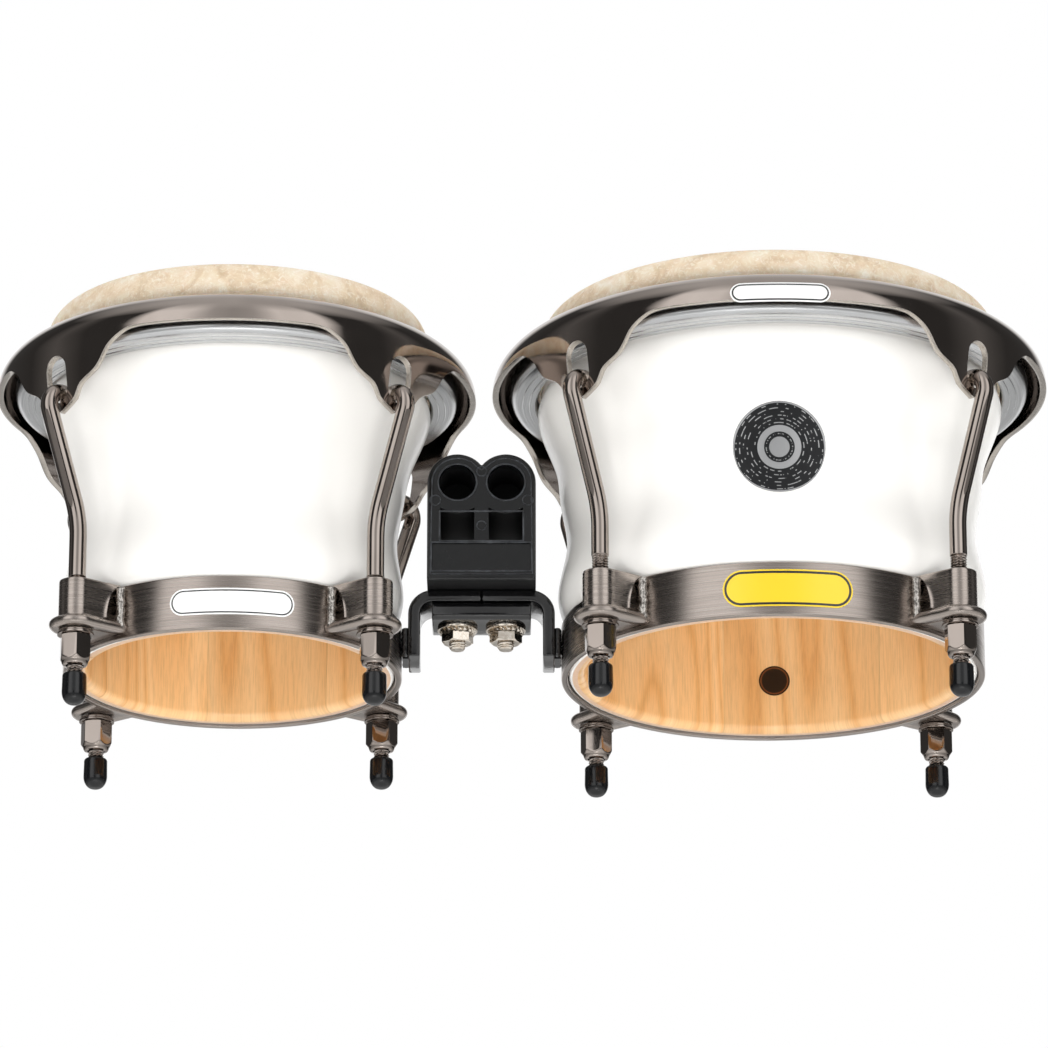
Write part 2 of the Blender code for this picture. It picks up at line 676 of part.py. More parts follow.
def make_block(holder, finish):
    """Moulded block with a narrower foot, two bores, two bolt pockets and a blank panel."""
    body = prism_levels(block_outline(), -BLOCK_HALF_DEPTH, BLOCK_HALF_DEPTH, "Y")
    block = add_object("centre_block", lofted_mesh("centre_block", body), finish, holder)
    deep = BLOCK_HALF_DEPTH + OVERCUT
    inset = BOLT_HALF_PITCH + BLOCK_LOBE_RADIUS - BLOCK_FOOT_INSET
    foot = rectangle(inset, BLOCK_HALF_DEPTH - BLOCK_FOOT_INSET)
    foot_levels = prism_levels(foot, BLOCK_BOTTOM_Z, BLOCK_BOTTOM_Z + BLOCK_FOOT_HEIGHT + OVERCUT)
    cut(block, cutter("block_foot", lofted_mesh("block_foot", foot_levels), holder), "UNION")
    for side in (-1, 1):
        x = side * BOLT_HALF_PITCH
        bore = [(x + a, BLOCK_BORE_Z + b) for a, b in polygon(BLOCK_BORE_RADIUS, 16)]
        for end in (-1, 1):
            span = sorted((end * BLOCK_WEB / 2, end * deep))
            name = f"block_bore_{side}_{end}"
            cut(block, cutter(name, lofted_mesh(name, prism_levels(bore, *span, "Y")), holder))
        half = BLOCK_POCKET_WIDTH / 2
        pocket = [
            (x - half, BLOCK_POCKET_BOTTOM_Z),
            (x + half, BLOCK_POCKET_BOTTOM_Z),
            (x + half, BLOCK_POCKET_TOP_Z),
            (x, BLOCK_POCKET_TOP_Z - BLOCK_POCKET_SAG),
            (x - half, BLOCK_POCKET_TOP_Z),
        ]
        name = f"block_pocket_{side}"
        cut(block, cutter(name, lofted_mesh(name, prism_levels(pocket, -deep, deep, "Y")), holder))
        levels = bore_levels(BOLT_RADIUS, BLOCK_BOTTOM_Z, BLOCK_POCKET_BOTTOM_Z, x)
        name = f"block_bolt_hole_{side}"
        cut(block, cutter(name, lofted_mesh(name, levels), holder))
    panel = [
        (-PANEL_HALF_WIDTH, PANEL_BOTTOM_Z),
        (PANEL_HALF_WIDTH, PANEL_BOTTOM_Z),
        (PANEL_HALF_WIDTH, PANEL_TOP_Z),
        (-PANEL_HALF_WIDTH, PANEL_TOP_Z),
    ]
    levels = prism_levels(panel, -deep, PANEL_DEPTH - BLOCK_HALF_DEPTH, "Y")
    cut(block, cutter("block_panel", lofted_mesh("block_panel", levels), holder))


def rectangle(half_x, half_y):
    """Corner points of a centred rectangle."""
    return [(-half_x, -half_y), (half_x, -half_y), (half_x, half_y), (-half_x, half_y)]


def make_plate(holder, finish):
    """Clamp plate under the arms, with rounded long edges and two bolt holes."""
    round_off = PLATE_ROUND
    half = PLATE_DEPTH / 2
    low = PLATE_BOTTOM_Z
    high = PLATE_BOTTOM_Z + PLATE_HEIGHT
    profile = arc((half - round_off, low + round_off), (round_off, round_off), -90, 0, 2)
    profile += arc((half - round_off, high - round_off), (round_off, round_off), 0, 90, 2)
    profile += [(-y, z) for y, z in reversed(profile)]
    levels = [[(x, y, z) for y, z in profile] for x in (-PLATE_WIDTH / 2, PLATE_WIDTH / 2)]
    plate = add_object("clamp_plate", lofted_mesh("clamp_plate", levels), finish, holder)
    for side in (-1, 1):
        name = f"plate_hole_{side}"
        levels = bore_levels(BOLT_RADIUS, low, high, side * BOLT_HALF_PITCH)
        cut(plate, cutter(name, lofted_mesh(name, levels), holder))


def make_arm(name, side, holder, finish):
    """Bent flat bar from the ring up and over to the clamp, with its weld pad."""
    outside = GAP_HALF - ARM_STANDOFF
    inside = outside - ARM_THICKNESS
    top = BLOCK_BOTTOM_Z - FIT
    under = PLATE_BOTTOM_Z + PLATE_HEIGHT + FIT
    bend = ARM_BEND
    inner_bend = bend - ARM_THICKNESS
    outline = [(ARM_GAP / 2, under), (ARM_GAP / 2, top)]
    outline += list(reversed(arc((outside - bend, top - bend), (bend, bend), 0, 90, 4)))
    outline += [(outside, ARM_FOOT_Z), (inside, ARM_FOOT_Z)]
    outline += arc((inside - inner_bend, under - inner_bend), (inner_bend, inner_bend), 0, 90, 3)
    outline = [(side * x, z) for x, z in outline]
    levels = prism_levels(outline, -ARM_DEPTH / 2, ARM_DEPTH / 2, "Y")
    arm = add_object(name, lofted_mesh(name, levels), finish, holder)
    low_x, high_x = sorted((side * (outside - OVERCUT), side * (GAP_HALF - FIT)))
    pad = [
        (low_x, -WELD_PAD_HALF_DEPTH),
        (high_x, -WELD_PAD_HALF_DEPTH),
        (high_x, WELD_PAD_HALF_DEPTH),
        (low_x, WELD_PAD_HALF_DEPTH),
    ]
    pad_levels = prism_levels(pad, WELD_PAD_BOTTOM_Z, WELD_PAD_TOP_Z)
    cut(arm, cutter(f"{name}_weld_pad", lofted_mesh(f"{name}_weld_pad", pad_levels), holder), "UNION")
    levels = bore_levels(BOLT_RADIUS, under, top, side * BOLT_HALF_PITCH)
    cut(arm, cutter(f"{name}_hole", lofted_mesh(f"{name}_hole", levels), holder))


def make_bolt(name, side, holder, finish):
    """Clamp bolt: its head rests in the block's pocket and its end hangs below the nut."""
    head_z = BLOCK_POCKET_BOTTOM_Z + FIT
    hexagon = polygon(NUT_ACROSS_FLATS / math.sqrt(3), 6)
    place = (side * BOLT_HALF_PITCH, 0, 0)
    head = prism_levels(hexagon, head_z, head_z + BOLT_HEAD_HEIGHT)
    bolt = add_object(name, lofted_mesh(name, head), finish, holder, place)
    thread_z = BOLT_FOOT_Z + BOLT_RADIUS - BOLT_TIP_RADIUS
    steps = ((BOLT_FOOT_Z, BOLT_TIP_RADIUS), (thread_z, BOLT_RADIUS), (head_z + OVERCUT, BOLT_RADIUS))
    levels = [[(x, y, height) for x, y in polygon(radius, SMALL_FACETS)] for height, radius in steps]
    cut(bolt, cutter(f"{name}_shank", lofted_mesh(f"{name}_shank", levels), holder, place), "UNION")


def make_clamp_nut(name, side, holder, finish):
    """Flanged hexagon nut that pulls the clamp plate up."""
    top = PLATE_BOTTOM_Z - FIT
    under_flange = top - CLAMP_NUT_FLANGE_HEIGHT
    place = (side * BOLT_HALF_PITCH, 0, 0)
    flange = prism_levels(polygon(CLAMP_NUT_FLANGE, SMALL_FACETS), under_flange, top)
    nut = add_object(name, lofted_mesh(name, flange), finish, holder, place)
    corner = NUT_ACROSS_FLATS / math.sqrt(3)
    steps = (
        (CLAMP_NUT_BOTTOM_Z, corner - CLAMP_NUT_CHAMFER),
        (CLAMP_NUT_BOTTOM_Z + CLAMP_NUT_CHAMFER, corner),
        (top - CLAMP_NUT_FLANGE_HEIGHT / 2, corner),
    )
    hexagon = [
        [(x, y, height) for x, y in polygon(radius, 6, CLAMP_NUT_TURN_DEG)] for height, radius in steps
    ]
    cut(nut, cutter(f"{name}_hexagon", lofted_mesh(f"{name}_hexagon", hexagon), holder, place), "UNION")
    bore = bore_levels(BOLT_RADIUS, CLAMP_NUT_BOTTOM_Z, top)
    cut(nut, cutter(f"{name}_bore", lofted_mesh(f"{name}_bore", bore), holder, place))


def make_centre(finishes):
    """Block, arms, plate and clamp fasteners between the two drums."""
    holder = empty("centre_hardware", (CENTRE_X, 0, 0))
    make_block(holder, finishes["moulded_black"])
    make_arm("macho_arm", -1, holder, finishes["black_paint"])
    make_arm("hembra_arm", 1, holder, finishes["black_paint"])
    make_plate(holder, finishes["black_paint"])
    for label, side in (("left", -1), ("right", 1)):
        make_bolt(f"clamp_bolt_{label}", side, holder, finishes["bright_nickel"])
        make_clamp_nut(f"clamp_nut_{label}", side, holder, finishes["bright_nickel"])


def make_badge(drum, holder, finish):
    """Thin round badge that follows the shell's curve on the player's side."""
    band = [point for point in shell_side(drum) if abs(point[1] - BADGE_Z) < BADGE_RADIUS * 2]
    inner = [(radius + FIT, height) for radius, height in band]
    outer = [(radius + FIT + BADGE_THICKNESS, height) for radius, height in reversed(band)]
    mesh = turned_mesh("front_badge", inner + outer, DRUM_FACETS)
    badge = add_object("front_badge", mesh, finish, holder)
    disc = [(a, BADGE_Z + b) for a, b in polygon(BADGE_RADIUS, 24)]
    levels = prism_levels(disc, -drum.mouth, BADGE_RADIUS - drum.waist, "Y")
    cut(badge, cutter("badge_outline", lofted_mesh("badge_outline", levels), holder), "INTERSECT")


def main():
    """Empty the scene and build the pair of drums in it."""
    for piece in list(bpy.data.objects):
        bpy.data.objects.remove(piece, do_unlink=True)
    finishes = {
        "lacquered_wood": material("lacquered_wood", (0.90, 0.88, 0.84), 0.12),
        "skin": material("skin", (0.68, 0.53, 0.36), 0.55),
        "zinc": material("zinc", (0.72, 0.73, 0.74), 0.3, 1.0),
        "gloss_black_nickel": material("gloss_black_nickel", (0.20, 0.18, 0.17), 0.1, 1.0),
        "brushed_black_nickel": material("brushed_black_nickel", (0.24, 0.22, 0.20), 0.3, 1.0),
        "rubber": material("rubber", (0.012, 0.013, 0.016), 0.5),
        "moulded_black": material("moulded_black", (0.008, 0.008, 0.009), 0.35),
        "black_paint": material("black_paint", (0.006, 0.006, 0.007), 0.18),
        "bright_nickel": material("bright_nickel", (0.70, 0.64, 0.56), 0.18, 1.0),
        "badge_foil": material("badge_foil", (0.05, 0.05, 0.055), 0.3, 0.6),
    }
    make_drum(MACHO, MACHO_X, finishes)
    hembra_holder = make_drum(HEMBRA, HEMBRA_X, finishes)
    make_badge(HEMBRA, hembra_holder, finishes["badge_foil"])
    make_centre(finishes)


main()
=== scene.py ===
"""Bongo drums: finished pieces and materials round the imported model, laid out as an add-on."""

import math

import bmesh
import bpy
from mathutils import Matrix, Vector, noise


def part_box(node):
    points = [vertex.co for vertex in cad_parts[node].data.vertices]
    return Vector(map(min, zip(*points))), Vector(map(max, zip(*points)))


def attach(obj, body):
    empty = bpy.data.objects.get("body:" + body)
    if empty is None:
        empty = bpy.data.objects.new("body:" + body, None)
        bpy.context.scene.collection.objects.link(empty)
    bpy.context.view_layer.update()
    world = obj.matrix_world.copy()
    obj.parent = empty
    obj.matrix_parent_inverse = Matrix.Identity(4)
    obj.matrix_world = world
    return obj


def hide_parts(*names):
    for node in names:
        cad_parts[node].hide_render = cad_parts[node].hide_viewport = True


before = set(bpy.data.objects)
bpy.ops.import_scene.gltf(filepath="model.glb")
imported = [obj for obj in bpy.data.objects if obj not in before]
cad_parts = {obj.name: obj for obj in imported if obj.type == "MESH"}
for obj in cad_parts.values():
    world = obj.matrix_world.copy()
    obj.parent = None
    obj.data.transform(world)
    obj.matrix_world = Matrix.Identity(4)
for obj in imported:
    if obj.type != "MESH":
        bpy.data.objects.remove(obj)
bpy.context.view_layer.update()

bl_info = {
    "name": "Bongo drums",
    "version": (1, 0, 0),
    "blender": (4, 5, 0),
    "location": "3D Viewport > Sidebar > Bongo drums",
    "description": "Builds the finished pieces of a pair of bongo drums",
    "category": "Add Mesh",
}

MM = 0.001
DRUMS_BODY = "drums"
HOOK_AZIMUTHS = (-135, -45, 45, 135)
GAP = 0.3 * MM


class Drum:
    """Sizes that differ between the two drums, in metres from their millimetres."""

    def __init__(self, name, x, belly, waist, neck, shoulder, mouth, ring, lug_circle, rim, rim_top):
        self.name = name
        self.x = x
        self.belly = belly * MM
        self.waist = waist * MM
        self.neck = neck * MM
        self.shoulder = shoulder * MM
        self.mouth = mouth * MM
        self.ring = ring * MM
        self.lug_circle = lug_circle * MM
        self.rim = rim * MM
        self.rim_top = rim_top * MM
        self.bearing = self.mouth - 1.3 * MM
        self.collar = self.bearing + 1.5 * MM
        self.tension_body = f"{name}_tension_ring"


def drum_axis(name):
    """X of a drum's own axis, from its bottom ring."""
    low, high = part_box(f"{name}_bottom_ring")
    return (low.x + high.x) / 2


MACHO = Drum("macho", drum_axis("macho"), 78.5, 75.4, 78.4, 81.8, 90.2, 78.0, 95.1, 111.8, 186.3)
HEMBRA = Drum("hembra", drum_axis("hembra"), 98.9, 94.7, 97.7, 99.9, 107.9, 97.5, 113.8, 129.5, 189.0)
DRUMS = (MACHO, HEMBRA)
CENTRE_X = sum(corner.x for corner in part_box("centre_block")) / 2

# Heights that both drums share
SHELL_FOOT_Z = 33.5 * MM
RING_BOTTOM_Z = 32.5 * MM
RING_TOP_Z = 57.5 * MM
BELLY_Z = 72 * MM
WAIST_Z = 97 * MM
NECK_Z = 119 * MM
SHOULDER_Z = 136 * MM
MOUTH_Z = 158 * MM
COLLAR_Z = 168 * MM
BEARING_Z = 190 * MM
SHELL_TOP_Z = 204 * MM

# Rim
RIM_CROWN = 17 * MM
RIM_TUCK = 130 * MM
RIM_EDGE_DROP = 18.4 * MM
SLOT_HALF = 6.25 * MM
SLOT_TOP_DROP = 24.5 * MM
SEAT_DROP = 45.8 * MM
EAR_STATIONS = (
    (0.0, 50.5), (9.5, 46.3), (14.6, 40.2), (24.5, 34.5), (31.5, 25.2), (40.0, 19.7), (48.0, 18.4),
)

# Hooks and what sits on them
ROD_FOOT_Z = 2.7 * MM
ROD_BEND_Z = 88 * MM
HOOK_BEND = 7 * MM
HOOK_END_DEG = 145
CAP_TOP_Z = 14.7 * MM
NUT_BOTTOM_Z = 18.2 * MM
NUT_TOP_Z = 32.3 * MM
NUT_TURNS_DEG = (-6, 22, 11, 34)
LUG_BOTTOM_Z = 34.6 * MM
LUG_TOP_Z = 58 * MM

# Centre hardware
BLOCK_BOTTOM_Z = 72.3 * MM
BORE_Z = 119.3 * MM
BOLT_PITCH_HALF = 11.15 * MM
PLATE_BOTTOM_Z = 57.8 * MM
PLATE_TOP_Z = 66.2 * MM
ARM_GAP_HALF = 36.75 * MM


# ---------------------------------------------------------------------------------------------
# Properties
# ---------------------------------------------------------------------------------------------
class BongoSizes(bpy.types.PropertyGroup):
    """Sizes of the finished pieces that a user may change."""

    shell_wall: bpy.props.FloatProperty(
        name="Shell wall", description="Thickness of the turned wood", default=8 * MM, unit="LENGTH")
    skin: bpy.props.FloatProperty(
        name="Skin", description="Thickness of the head", default=1.2 * MM, unit="LENGTH")
    pleat_depth: bpy.props.FloatProperty(
        name="Pleat depth", description="Depth of the fine pleats in the skin's collar",
        default=0.35 * MM, unit="LENGTH")
    rim_sheet: bpy.props.FloatProperty(
        name="Rim sheet", description="Thickness of the pressed rim", default=3 * MM, unit="LENGTH")
    ring_wall: bpy.props.FloatProperty(
        name="Ring wall", description="Thickness of the bottom ring", default=3 * MM, unit="LENGTH")
    rod_radius: bpy.props.FloatProperty(
        name="Rod radius", description="Radius of the tension hooks", default=4 * MM, unit="LENGTH")
    thread_pitch: bpy.props.FloatProperty(
        name="Thread pitch", description="Pitch of the rods' threads", default=1.25 * MM, unit="LENGTH")
    thread_depth: bpy.props.FloatProperty(
        name="Thread depth", description="Depth of the threads", default=0.6 * MM, unit="LENGTH")
    washer_radius: bpy.props.FloatProperty(
        name="Washer radius", description="Radius of the lower lug washers", default=8.3 * MM, unit="LENGTH")
    nut_flats: bpy.props.FloatProperty(
        name="Nut flats", description="Width across the flats of every nut", default=13 * MM, unit="LENGTH")
    badge_radius: bpy.props.FloatProperty(
        name="Badge radius", description="Radius of the round front badge", default=21 * MM, unit="LENGTH")


class BongoColours(bpy.types.PropertyGroup):
    """Colours of the finishes, as sRGB hex values."""

    lacquer: bpy.props.StringProperty(
        name="Lacquer", description="White lacquer on the shells", default="#F6F4F0")
    wood: bpy.props.StringProperty(
        name="Wood", description="Sapwood inside the shells", default="#EFBC80")
    wood_line: bpy.props.StringProperty(
        name="Wood grain", description="Darker growth lines of the wood", default="#E2A868")
    raw_edge: bpy.props.StringProperty(
        name="Raw edge", description="Bare lower edge of the shells", default="#D9BBA2")
    skin_light: bpy.props.StringProperty(
        name="Skin, light", description="Pale patches of the skin", default="#F6EDDF")
    skin_dark: bpy.props.StringProperty(
        name="Skin, dark", description="Darker ground of the skin", default="#E2CDB0")
    black_nickel: bpy.props.StringProperty(
        name="Black nickel", description="Plating of the rims, hooks, rings and lugs", default="#A89E97")
    cut_steel: bpy.props.StringProperty(
        name="Cut edge", description="Bright cut edges of the rims", default="#B9B2AA")
    zinc: bpy.props.StringProperty(
        name="Zinc", description="Flesh hoops", default="#D4D5D6")
    warm_nickel: bpy.props.StringProperty(
        name="Warm nickel", description="Clamp nuts, bolts and washers", default="#E6DED3")
    rubber: bpy.props.StringProperty(
        name="Rubber", description="Caps on the rods' feet", default="#0C0D0F")
    moulded: bpy.props.StringProperty(
        name="Moulding", description="Centre block", default="#08090A")
    paint: bpy.props.StringProperty(
        name="Paint", description="Arms and clamp plate", default="#0B0B0C")
    yellow: bpy.props.StringProperty(
        name="Label yellow", description="Oval label on the large drum's ring", default="#E6C51C")
    floor: bpy.props.StringProperty(
        name="Floor", description="Pale studio floor", default="#F4F4F3")


# ---------------------------------------------------------------------------------------------
# Materials
# ---------------------------------------------------------------------------------------------
def linear(code):
    """Linear RGBA from an sRGB hex value."""
    parts = [int(code[i:i + 2], 16) / 255 for i in (1, 3, 5)]
    return (*[c / 12.92 if c <= 0.04045 else ((c + 0.055) / 1.055) ** 2.4 for c in parts], 1.0)


def node(tree, kind, inputs=None, **settings):
    """Add one node, set its settings, and fill or link its inputs by name or number."""
    made = tree.nodes.new(kind)
    for key, value in settings.items():
        setattr(made, key, value)
    for key, value in (inputs or {}).items():
        if isinstance(value, bpy.types.NodeSocket):
            tree.links.new(value, made.inputs[key])
        else:
            made.inputs[key].default_value = value
    return made


def new_material(name, colour, roughness, metallic=0.0, **sockets):
    """A Principled material with uniform values on its own sockets."""
    made = bpy.data.materials.new(name)
    made.use_nodes = True
    shader = made.node_tree.nodes["Principled BSDF"]
    shader.inputs["Base Color"].default_value = linear(colour)
    shader.inputs["Roughness"].default_value = roughness
    shader.inputs["Metallic"].default_value = metallic
    for key, value in sockets.items():
        shader.inputs[key.replace("_", " ")].default_value = value
    made.diffuse_color = linear(colour)
    return made, made.node_tree, shader


def object_place(tree, offset=(0, 0, 0), scale=(1, 1, 1)):
    """Object coordinates, centred and stretched."""
    coords = node(tree, "ShaderNodeTexCoord")
    return node(tree, "ShaderNodeMapping", {
        "Vector": coords.outputs["Object"], "Location": offset, "Scale": scale,
    }).outputs[0]


def round_place(tree, x, radius):
    """Coordinates that run along a drum's girth, out from its axis and up, in metres."""
    place = object_place(tree, (-x, 0, 0))
    split = node(tree, "ShaderNodeSeparateXYZ", {0: place})
    angle = node(tree, "ShaderNodeMath", {0: split.outputs[1], 1: split.outputs[0]}, operation="ARCTAN2")
    girth = node(tree, "ShaderNodeMath", {0: angle.outputs[0], 1: radius}, operation="MULTIPLY")
    flat = node(tree, "ShaderNodeCombineXYZ", {0: split.outputs[0], 1: split.outputs[1]})
    reach = node(tree, "ShaderNodeVectorMath", {0: flat.outputs[0]}, operation="LENGTH")
    made = node(tree, "ShaderNodeCombineXYZ", {
        0: girth.outputs[0], 1: reach.outputs["Value"], 2: split.outputs[2],
    })
    return made.outputs[0]


def stretched(tree, place, scale):
    """Coordinates scaled by one factor per axis."""
    return node(tree, "ShaderNodeVectorMath", {0: place, 1: scale}, operation="MULTIPLY").outputs[0]


def noise_value(tree, place, scale, detail=3.0, rough=0.5, distort=0.0):
    """Noise whose features are about one over scale metres across."""
    return node(tree, "ShaderNodeTexNoise", {
        "Vector": place, "Scale": scale, "Detail": detail, "Roughness": rough, "Distortion": distort,
    }).outputs["Fac"]


def ramp(tree, value, stops):
    """Colour ramp from (position, hex or grey) stops."""
    made = node(tree, "ShaderNodeValToRGB", {0: value})
    elements = made.color_ramp.elements
    while len(elements) < len(stops):
        elements.new(0.5)
    for element, (position, colour) in zip(elements, stops):
        element.position = position
        element.color = linear(colour) if isinstance(colour, str) else (colour, colour, colour, 1)
    return made.outputs[0]


def span(tree, value, low, high, from_low=0.0, from_high=1.0):
    """A value moved from one range to another."""
    return node(tree, "ShaderNodeMapRange", {
        0: value, 1: from_low, 2: from_high, 3: low, 4: high,
    }).outputs[0]


def bump(tree, shader, height, strength, depth):
    """Surface relief of a given depth in metres."""
    made = node(tree, "ShaderNodeBump", {"Height": height, "Strength": strength, "Distance": depth})
    tree.links.new(made.outputs[0], shader.inputs["Normal"])


def white_lacquer(colours):
    """High-gloss white lacquer, sprayed and polished: a soft clear coat over a faint orange peel."""
    made, tree, shader = new_material("white_polyester_lacquer", colours.lacquer, 0.22, IOR=1.5)
    shader.inputs["Coat Weight"].default_value = 0.3
    shader.inputs["Coat Roughness"].default_value = 0.12
    shader.inputs["Specular IOR Level"].default_value = 0.25
    place = object_place(tree)
    peel = noise_value(tree, place, 90, 2)
    bump(tree, shader, peel, 0.12, 0.1 * MM)
    cloud = noise_value(tree, place, 14, 2)
    tint = ramp(tree, cloud, ((0.3, colours.lacquer), (0.75, "#F1EFEB")))
    tree.links.new(tint, shader.inputs["Base Color"])
    return made


def turned_wood(colours, drum):
    """Siam oak glued up from wide staves and sealed: warm growth lines, fine pores, semi-gloss."""
    made, tree, shader = new_material(f"{drum.name}_sealed_siam_oak", colours.wood, 0.32)
    shader.inputs["Coat Weight"].default_value = 0.5
    shader.inputs["Coat Roughness"].default_value = 0.18
    place = round_place(tree, drum.x, drum.waist)
    staves = 7.0
    stave_width = math.tau * drum.waist / staves
    split = node(tree, "ShaderNodeSeparateXYZ", {0: place})
    girth_count = node(tree, "ShaderNodeMath", {0: split.outputs[0], 1: 1 / stave_width},
                       operation="MULTIPLY")
    stave = node(tree, "ShaderNodeMath", {0: girth_count.outputs[0]}, operation="FLOOR")
    tone = node(tree, "ShaderNodeTexWhiteNoise", {"W": stave.outputs[0]}, noise_dimensions="1D")
    # growth lines run up the staves, 4 to 8 mm apart, and wander
    apart = node(tree, "ShaderNodeCombineXYZ", {
        0: split.outputs[0], 1: node(tree, "ShaderNodeMath", {0: tone.outputs["Value"], 1: 3.0},
                                     operation="MULTIPLY").outputs[0],
        2: split.outputs[2],
    })
    wander = noise_value(tree, stretched(tree, apart.outputs[0], (13, 1, 2.0)), 1.0, 2, 0.45, 0.3)
    fine = noise_value(tree, stretched(tree, apart.outputs[0], (1500, 1, 90)), 1.0, 4, 0.6)
    rings = node(tree, "ShaderNodeMath", {0: wander, 1: 0.05}, operation="PINGPONG")
    line = span(tree, rings.outputs[0], 0.0, 1.0, 0.0, 0.05)
    colour = ramp(tree, line, ((0.0, colours.wood_line), (0.30, colours.wood), (1.0, "#F3C78F")))
    streak = ramp(tree, fine, ((0.36, 0.78), (0.56, 1.0)))
    mixed = node(tree, "ShaderNodeMix", {0: 0.7, 6: colour, 7: streak}, data_type="RGBA",
                 blend_type="MULTIPLY")
    shade = span(tree, tone.outputs["Value"], 0.90, 1.05)
    # a fine glue line closes each stave
    part = node(tree, "ShaderNodeMath", {0: girth_count.outputs[0]}, operation="FRACT")
    glued = ramp(tree, part.outputs[0], ((0.0, 0.80), (0.006, 0.84), (0.016, 1.0)))
    shade = node(tree, "ShaderNodeMath", {0: shade, 1: glued}, operation="MULTIPLY").outputs[0]
    toned = node(tree, "ShaderNodeMix", {0: 1.0, 6: mixed.outputs[2], 7: shade}, data_type="RGBA",
                 blend_type="MULTIPLY")
    tree.links.new(toned.outputs[2], shader.inputs["Base Color"])
    bump(tree, shader, fine, 0.25, 0.15 * MM)
    return made


def raw_wood(colours):
    """Bare turned edge of the shell: end grain, matt, pinkish."""
    made, tree, shader = new_material("bare_wood_edge", colours.raw_edge, 0.6)
    place = object_place(tree)
    pores = noise_value(tree, place, 900, 3, 0.6)
    colour = ramp(tree, pores, ((0.3, "#C9A588"), (0.7, colours.raw_edge)))
    tree.links.new(colour, shader.inputs["Base Color"])
    bump(tree, shader, pores, 0.3, 0.1 * MM)
    return made


def calf_skin(colours, drum):
    """Natural hide, dried under tension: matt, mottled with pale flecks, drawn out up the collar."""
    made, tree, shader = new_material(f"{drum.name}_natural_hide", colours.skin_dark, 0.55)
    shader.inputs["Subsurface Weight"].default_value = 0.12
    shader.inputs["Subsurface Scale"].default_value = 2 * MM
    place = round_place(tree, drum.x, drum.mouth)
    hide = object_place(tree, (-drum.x, 0, 0))
    cloud = noise_value(tree, hide, 75, 5, 0.62, 0.9)
    fleck = noise_value(tree, hide, 300, 5, 0.68, 2.2)
    # pleats start where the collar turns down, so the playing face has none
    split = node(tree, "ShaderNodeSeparateXYZ", {0: place})
    turned = span(tree, split.outputs[2], 1, 0, BEARING_Z - 2 * MM, BEARING_Z + 5 * MM)
    gathers = noise_value(tree, stretched(tree, place, (1.0, 0.05, 0.04)), 900, 3, 0.6)
    pleat = node(tree, "ShaderNodeMix", {0: turned, 2: 0.62, 3: gathers}, data_type="FLOAT").outputs[0]
    ground = ramp(tree, cloud, (
        (0.30, "#CFB697"), (0.46, colours.skin_dark), (0.60, "#EBDCC5"), (0.74, colours.skin_light)))
    pale = ramp(tree, fleck, ((0.50, 0.0), (0.66, 0.65)))
    flecked = node(tree, "ShaderNodeMix", {0: pale, 6: ground, 7: linear("#F6F0E4")}, data_type="RGBA")
    # the colour is darkened in the pleats' folds as painted shade
    fold_shade = ramp(tree, pleat, ((0.36, 0.90), (0.6, 1.0)))
    fold_shaded = node(tree, "ShaderNodeMix", {0: 0.8, 6: flecked.outputs[2], 7: fold_shade}, data_type="RGBA",
                  blend_type="MULTIPLY")
    tree.links.new(fold_shaded.outputs[2], shader.inputs["Base Color"])
    tree.links.new(span(tree, fleck, 0.42, 0.68), shader.inputs["Roughness"])
    relief = node(tree, "ShaderNodeMath", {0: fleck, 1: pleat}, operation="ADD")
    bump(tree, shader, relief.outputs[0], 0.4, 0.35 * MM)
    return made


def gloss_black_nickel(colours):
    """Steel polished and plated with black nickel: dark mirror, faintly wavy from the press."""
    made, tree, shader = new_material("gloss_black_nickel", colours.black_nickel, 0.1, 1.0)
    place = object_place(tree)
    wave = noise_value(tree, place, 38, 2)
    smear = noise_value(tree, place, 160, 4, 0.65)
    tree.links.new(span(tree, smear, 0.045, 0.11, 0.3, 0.7), shader.inputs["Roughness"])
    colour = ramp(tree, wave, ((0.3, "#9C928B"), (0.7, colours.black_nickel)))
    tree.links.new(colour, shader.inputs["Base Color"])
    bump(tree, shader, wave, 0.1, 0.2 * MM)
    return made


def brushed_black_nickel(colours, drum):
    """Steel brushed round the drum before the black nickel: fine level lines, streaked highlights."""
    made, tree, shader = new_material(f"{drum.name}_brushed_black_nickel", colours.black_nickel, 0.28, 1.0)
    shader.inputs["Anisotropic"].default_value = 0.75
    shader.inputs["Anisotropic Rotation"].default_value = 0.25
    place = round_place(tree, drum.x, drum.ring)
    # brush lines are about 0.4 mm wide, drawn twice as coarse as real ones so that they show
    lines = noise_value(tree, stretched(tree, place, (25, 25, 2600)), 1.0, 3, 0.6)
    fine = noise_value(tree, stretched(tree, place, (10, 10, 1300)), 1.0, 2, 0.5)
    colour = ramp(tree, lines, ((0.3, "#999089"), (0.5, colours.black_nickel), (0.72, "#B3AAA3")))
    tree.links.new(colour, shader.inputs["Base Color"])
    tree.links.new(span(tree, fine, 0.2, 0.33, 0.3, 0.7), shader.inputs["Roughness"])
    bump(tree, shader, lines, 0.2, 0.02 * MM)
    tangent = node(tree, "ShaderNodeTangent", direction_type="RADIAL", axis="Z")
    tree.links.new(tangent.outputs[0], shader.inputs["Tangent"])
    return made


def bright_steel(colours):
    """Sheet steel's cut edge under thin plating: paler than the faces, a little rough."""
    made, tree, shader = new_material("plated_cut_edge", colours.cut_steel, 0.25, 1.0)
    grain = noise_value(tree, object_place(tree), 700, 3, 0.6)
    tree.links.new(span(tree, grain, 0.18, 0.30, 0.3, 0.7), shader.inputs["Roughness"])
    bump(tree, shader, grain, 0.1, 0.02 * MM)
    return made


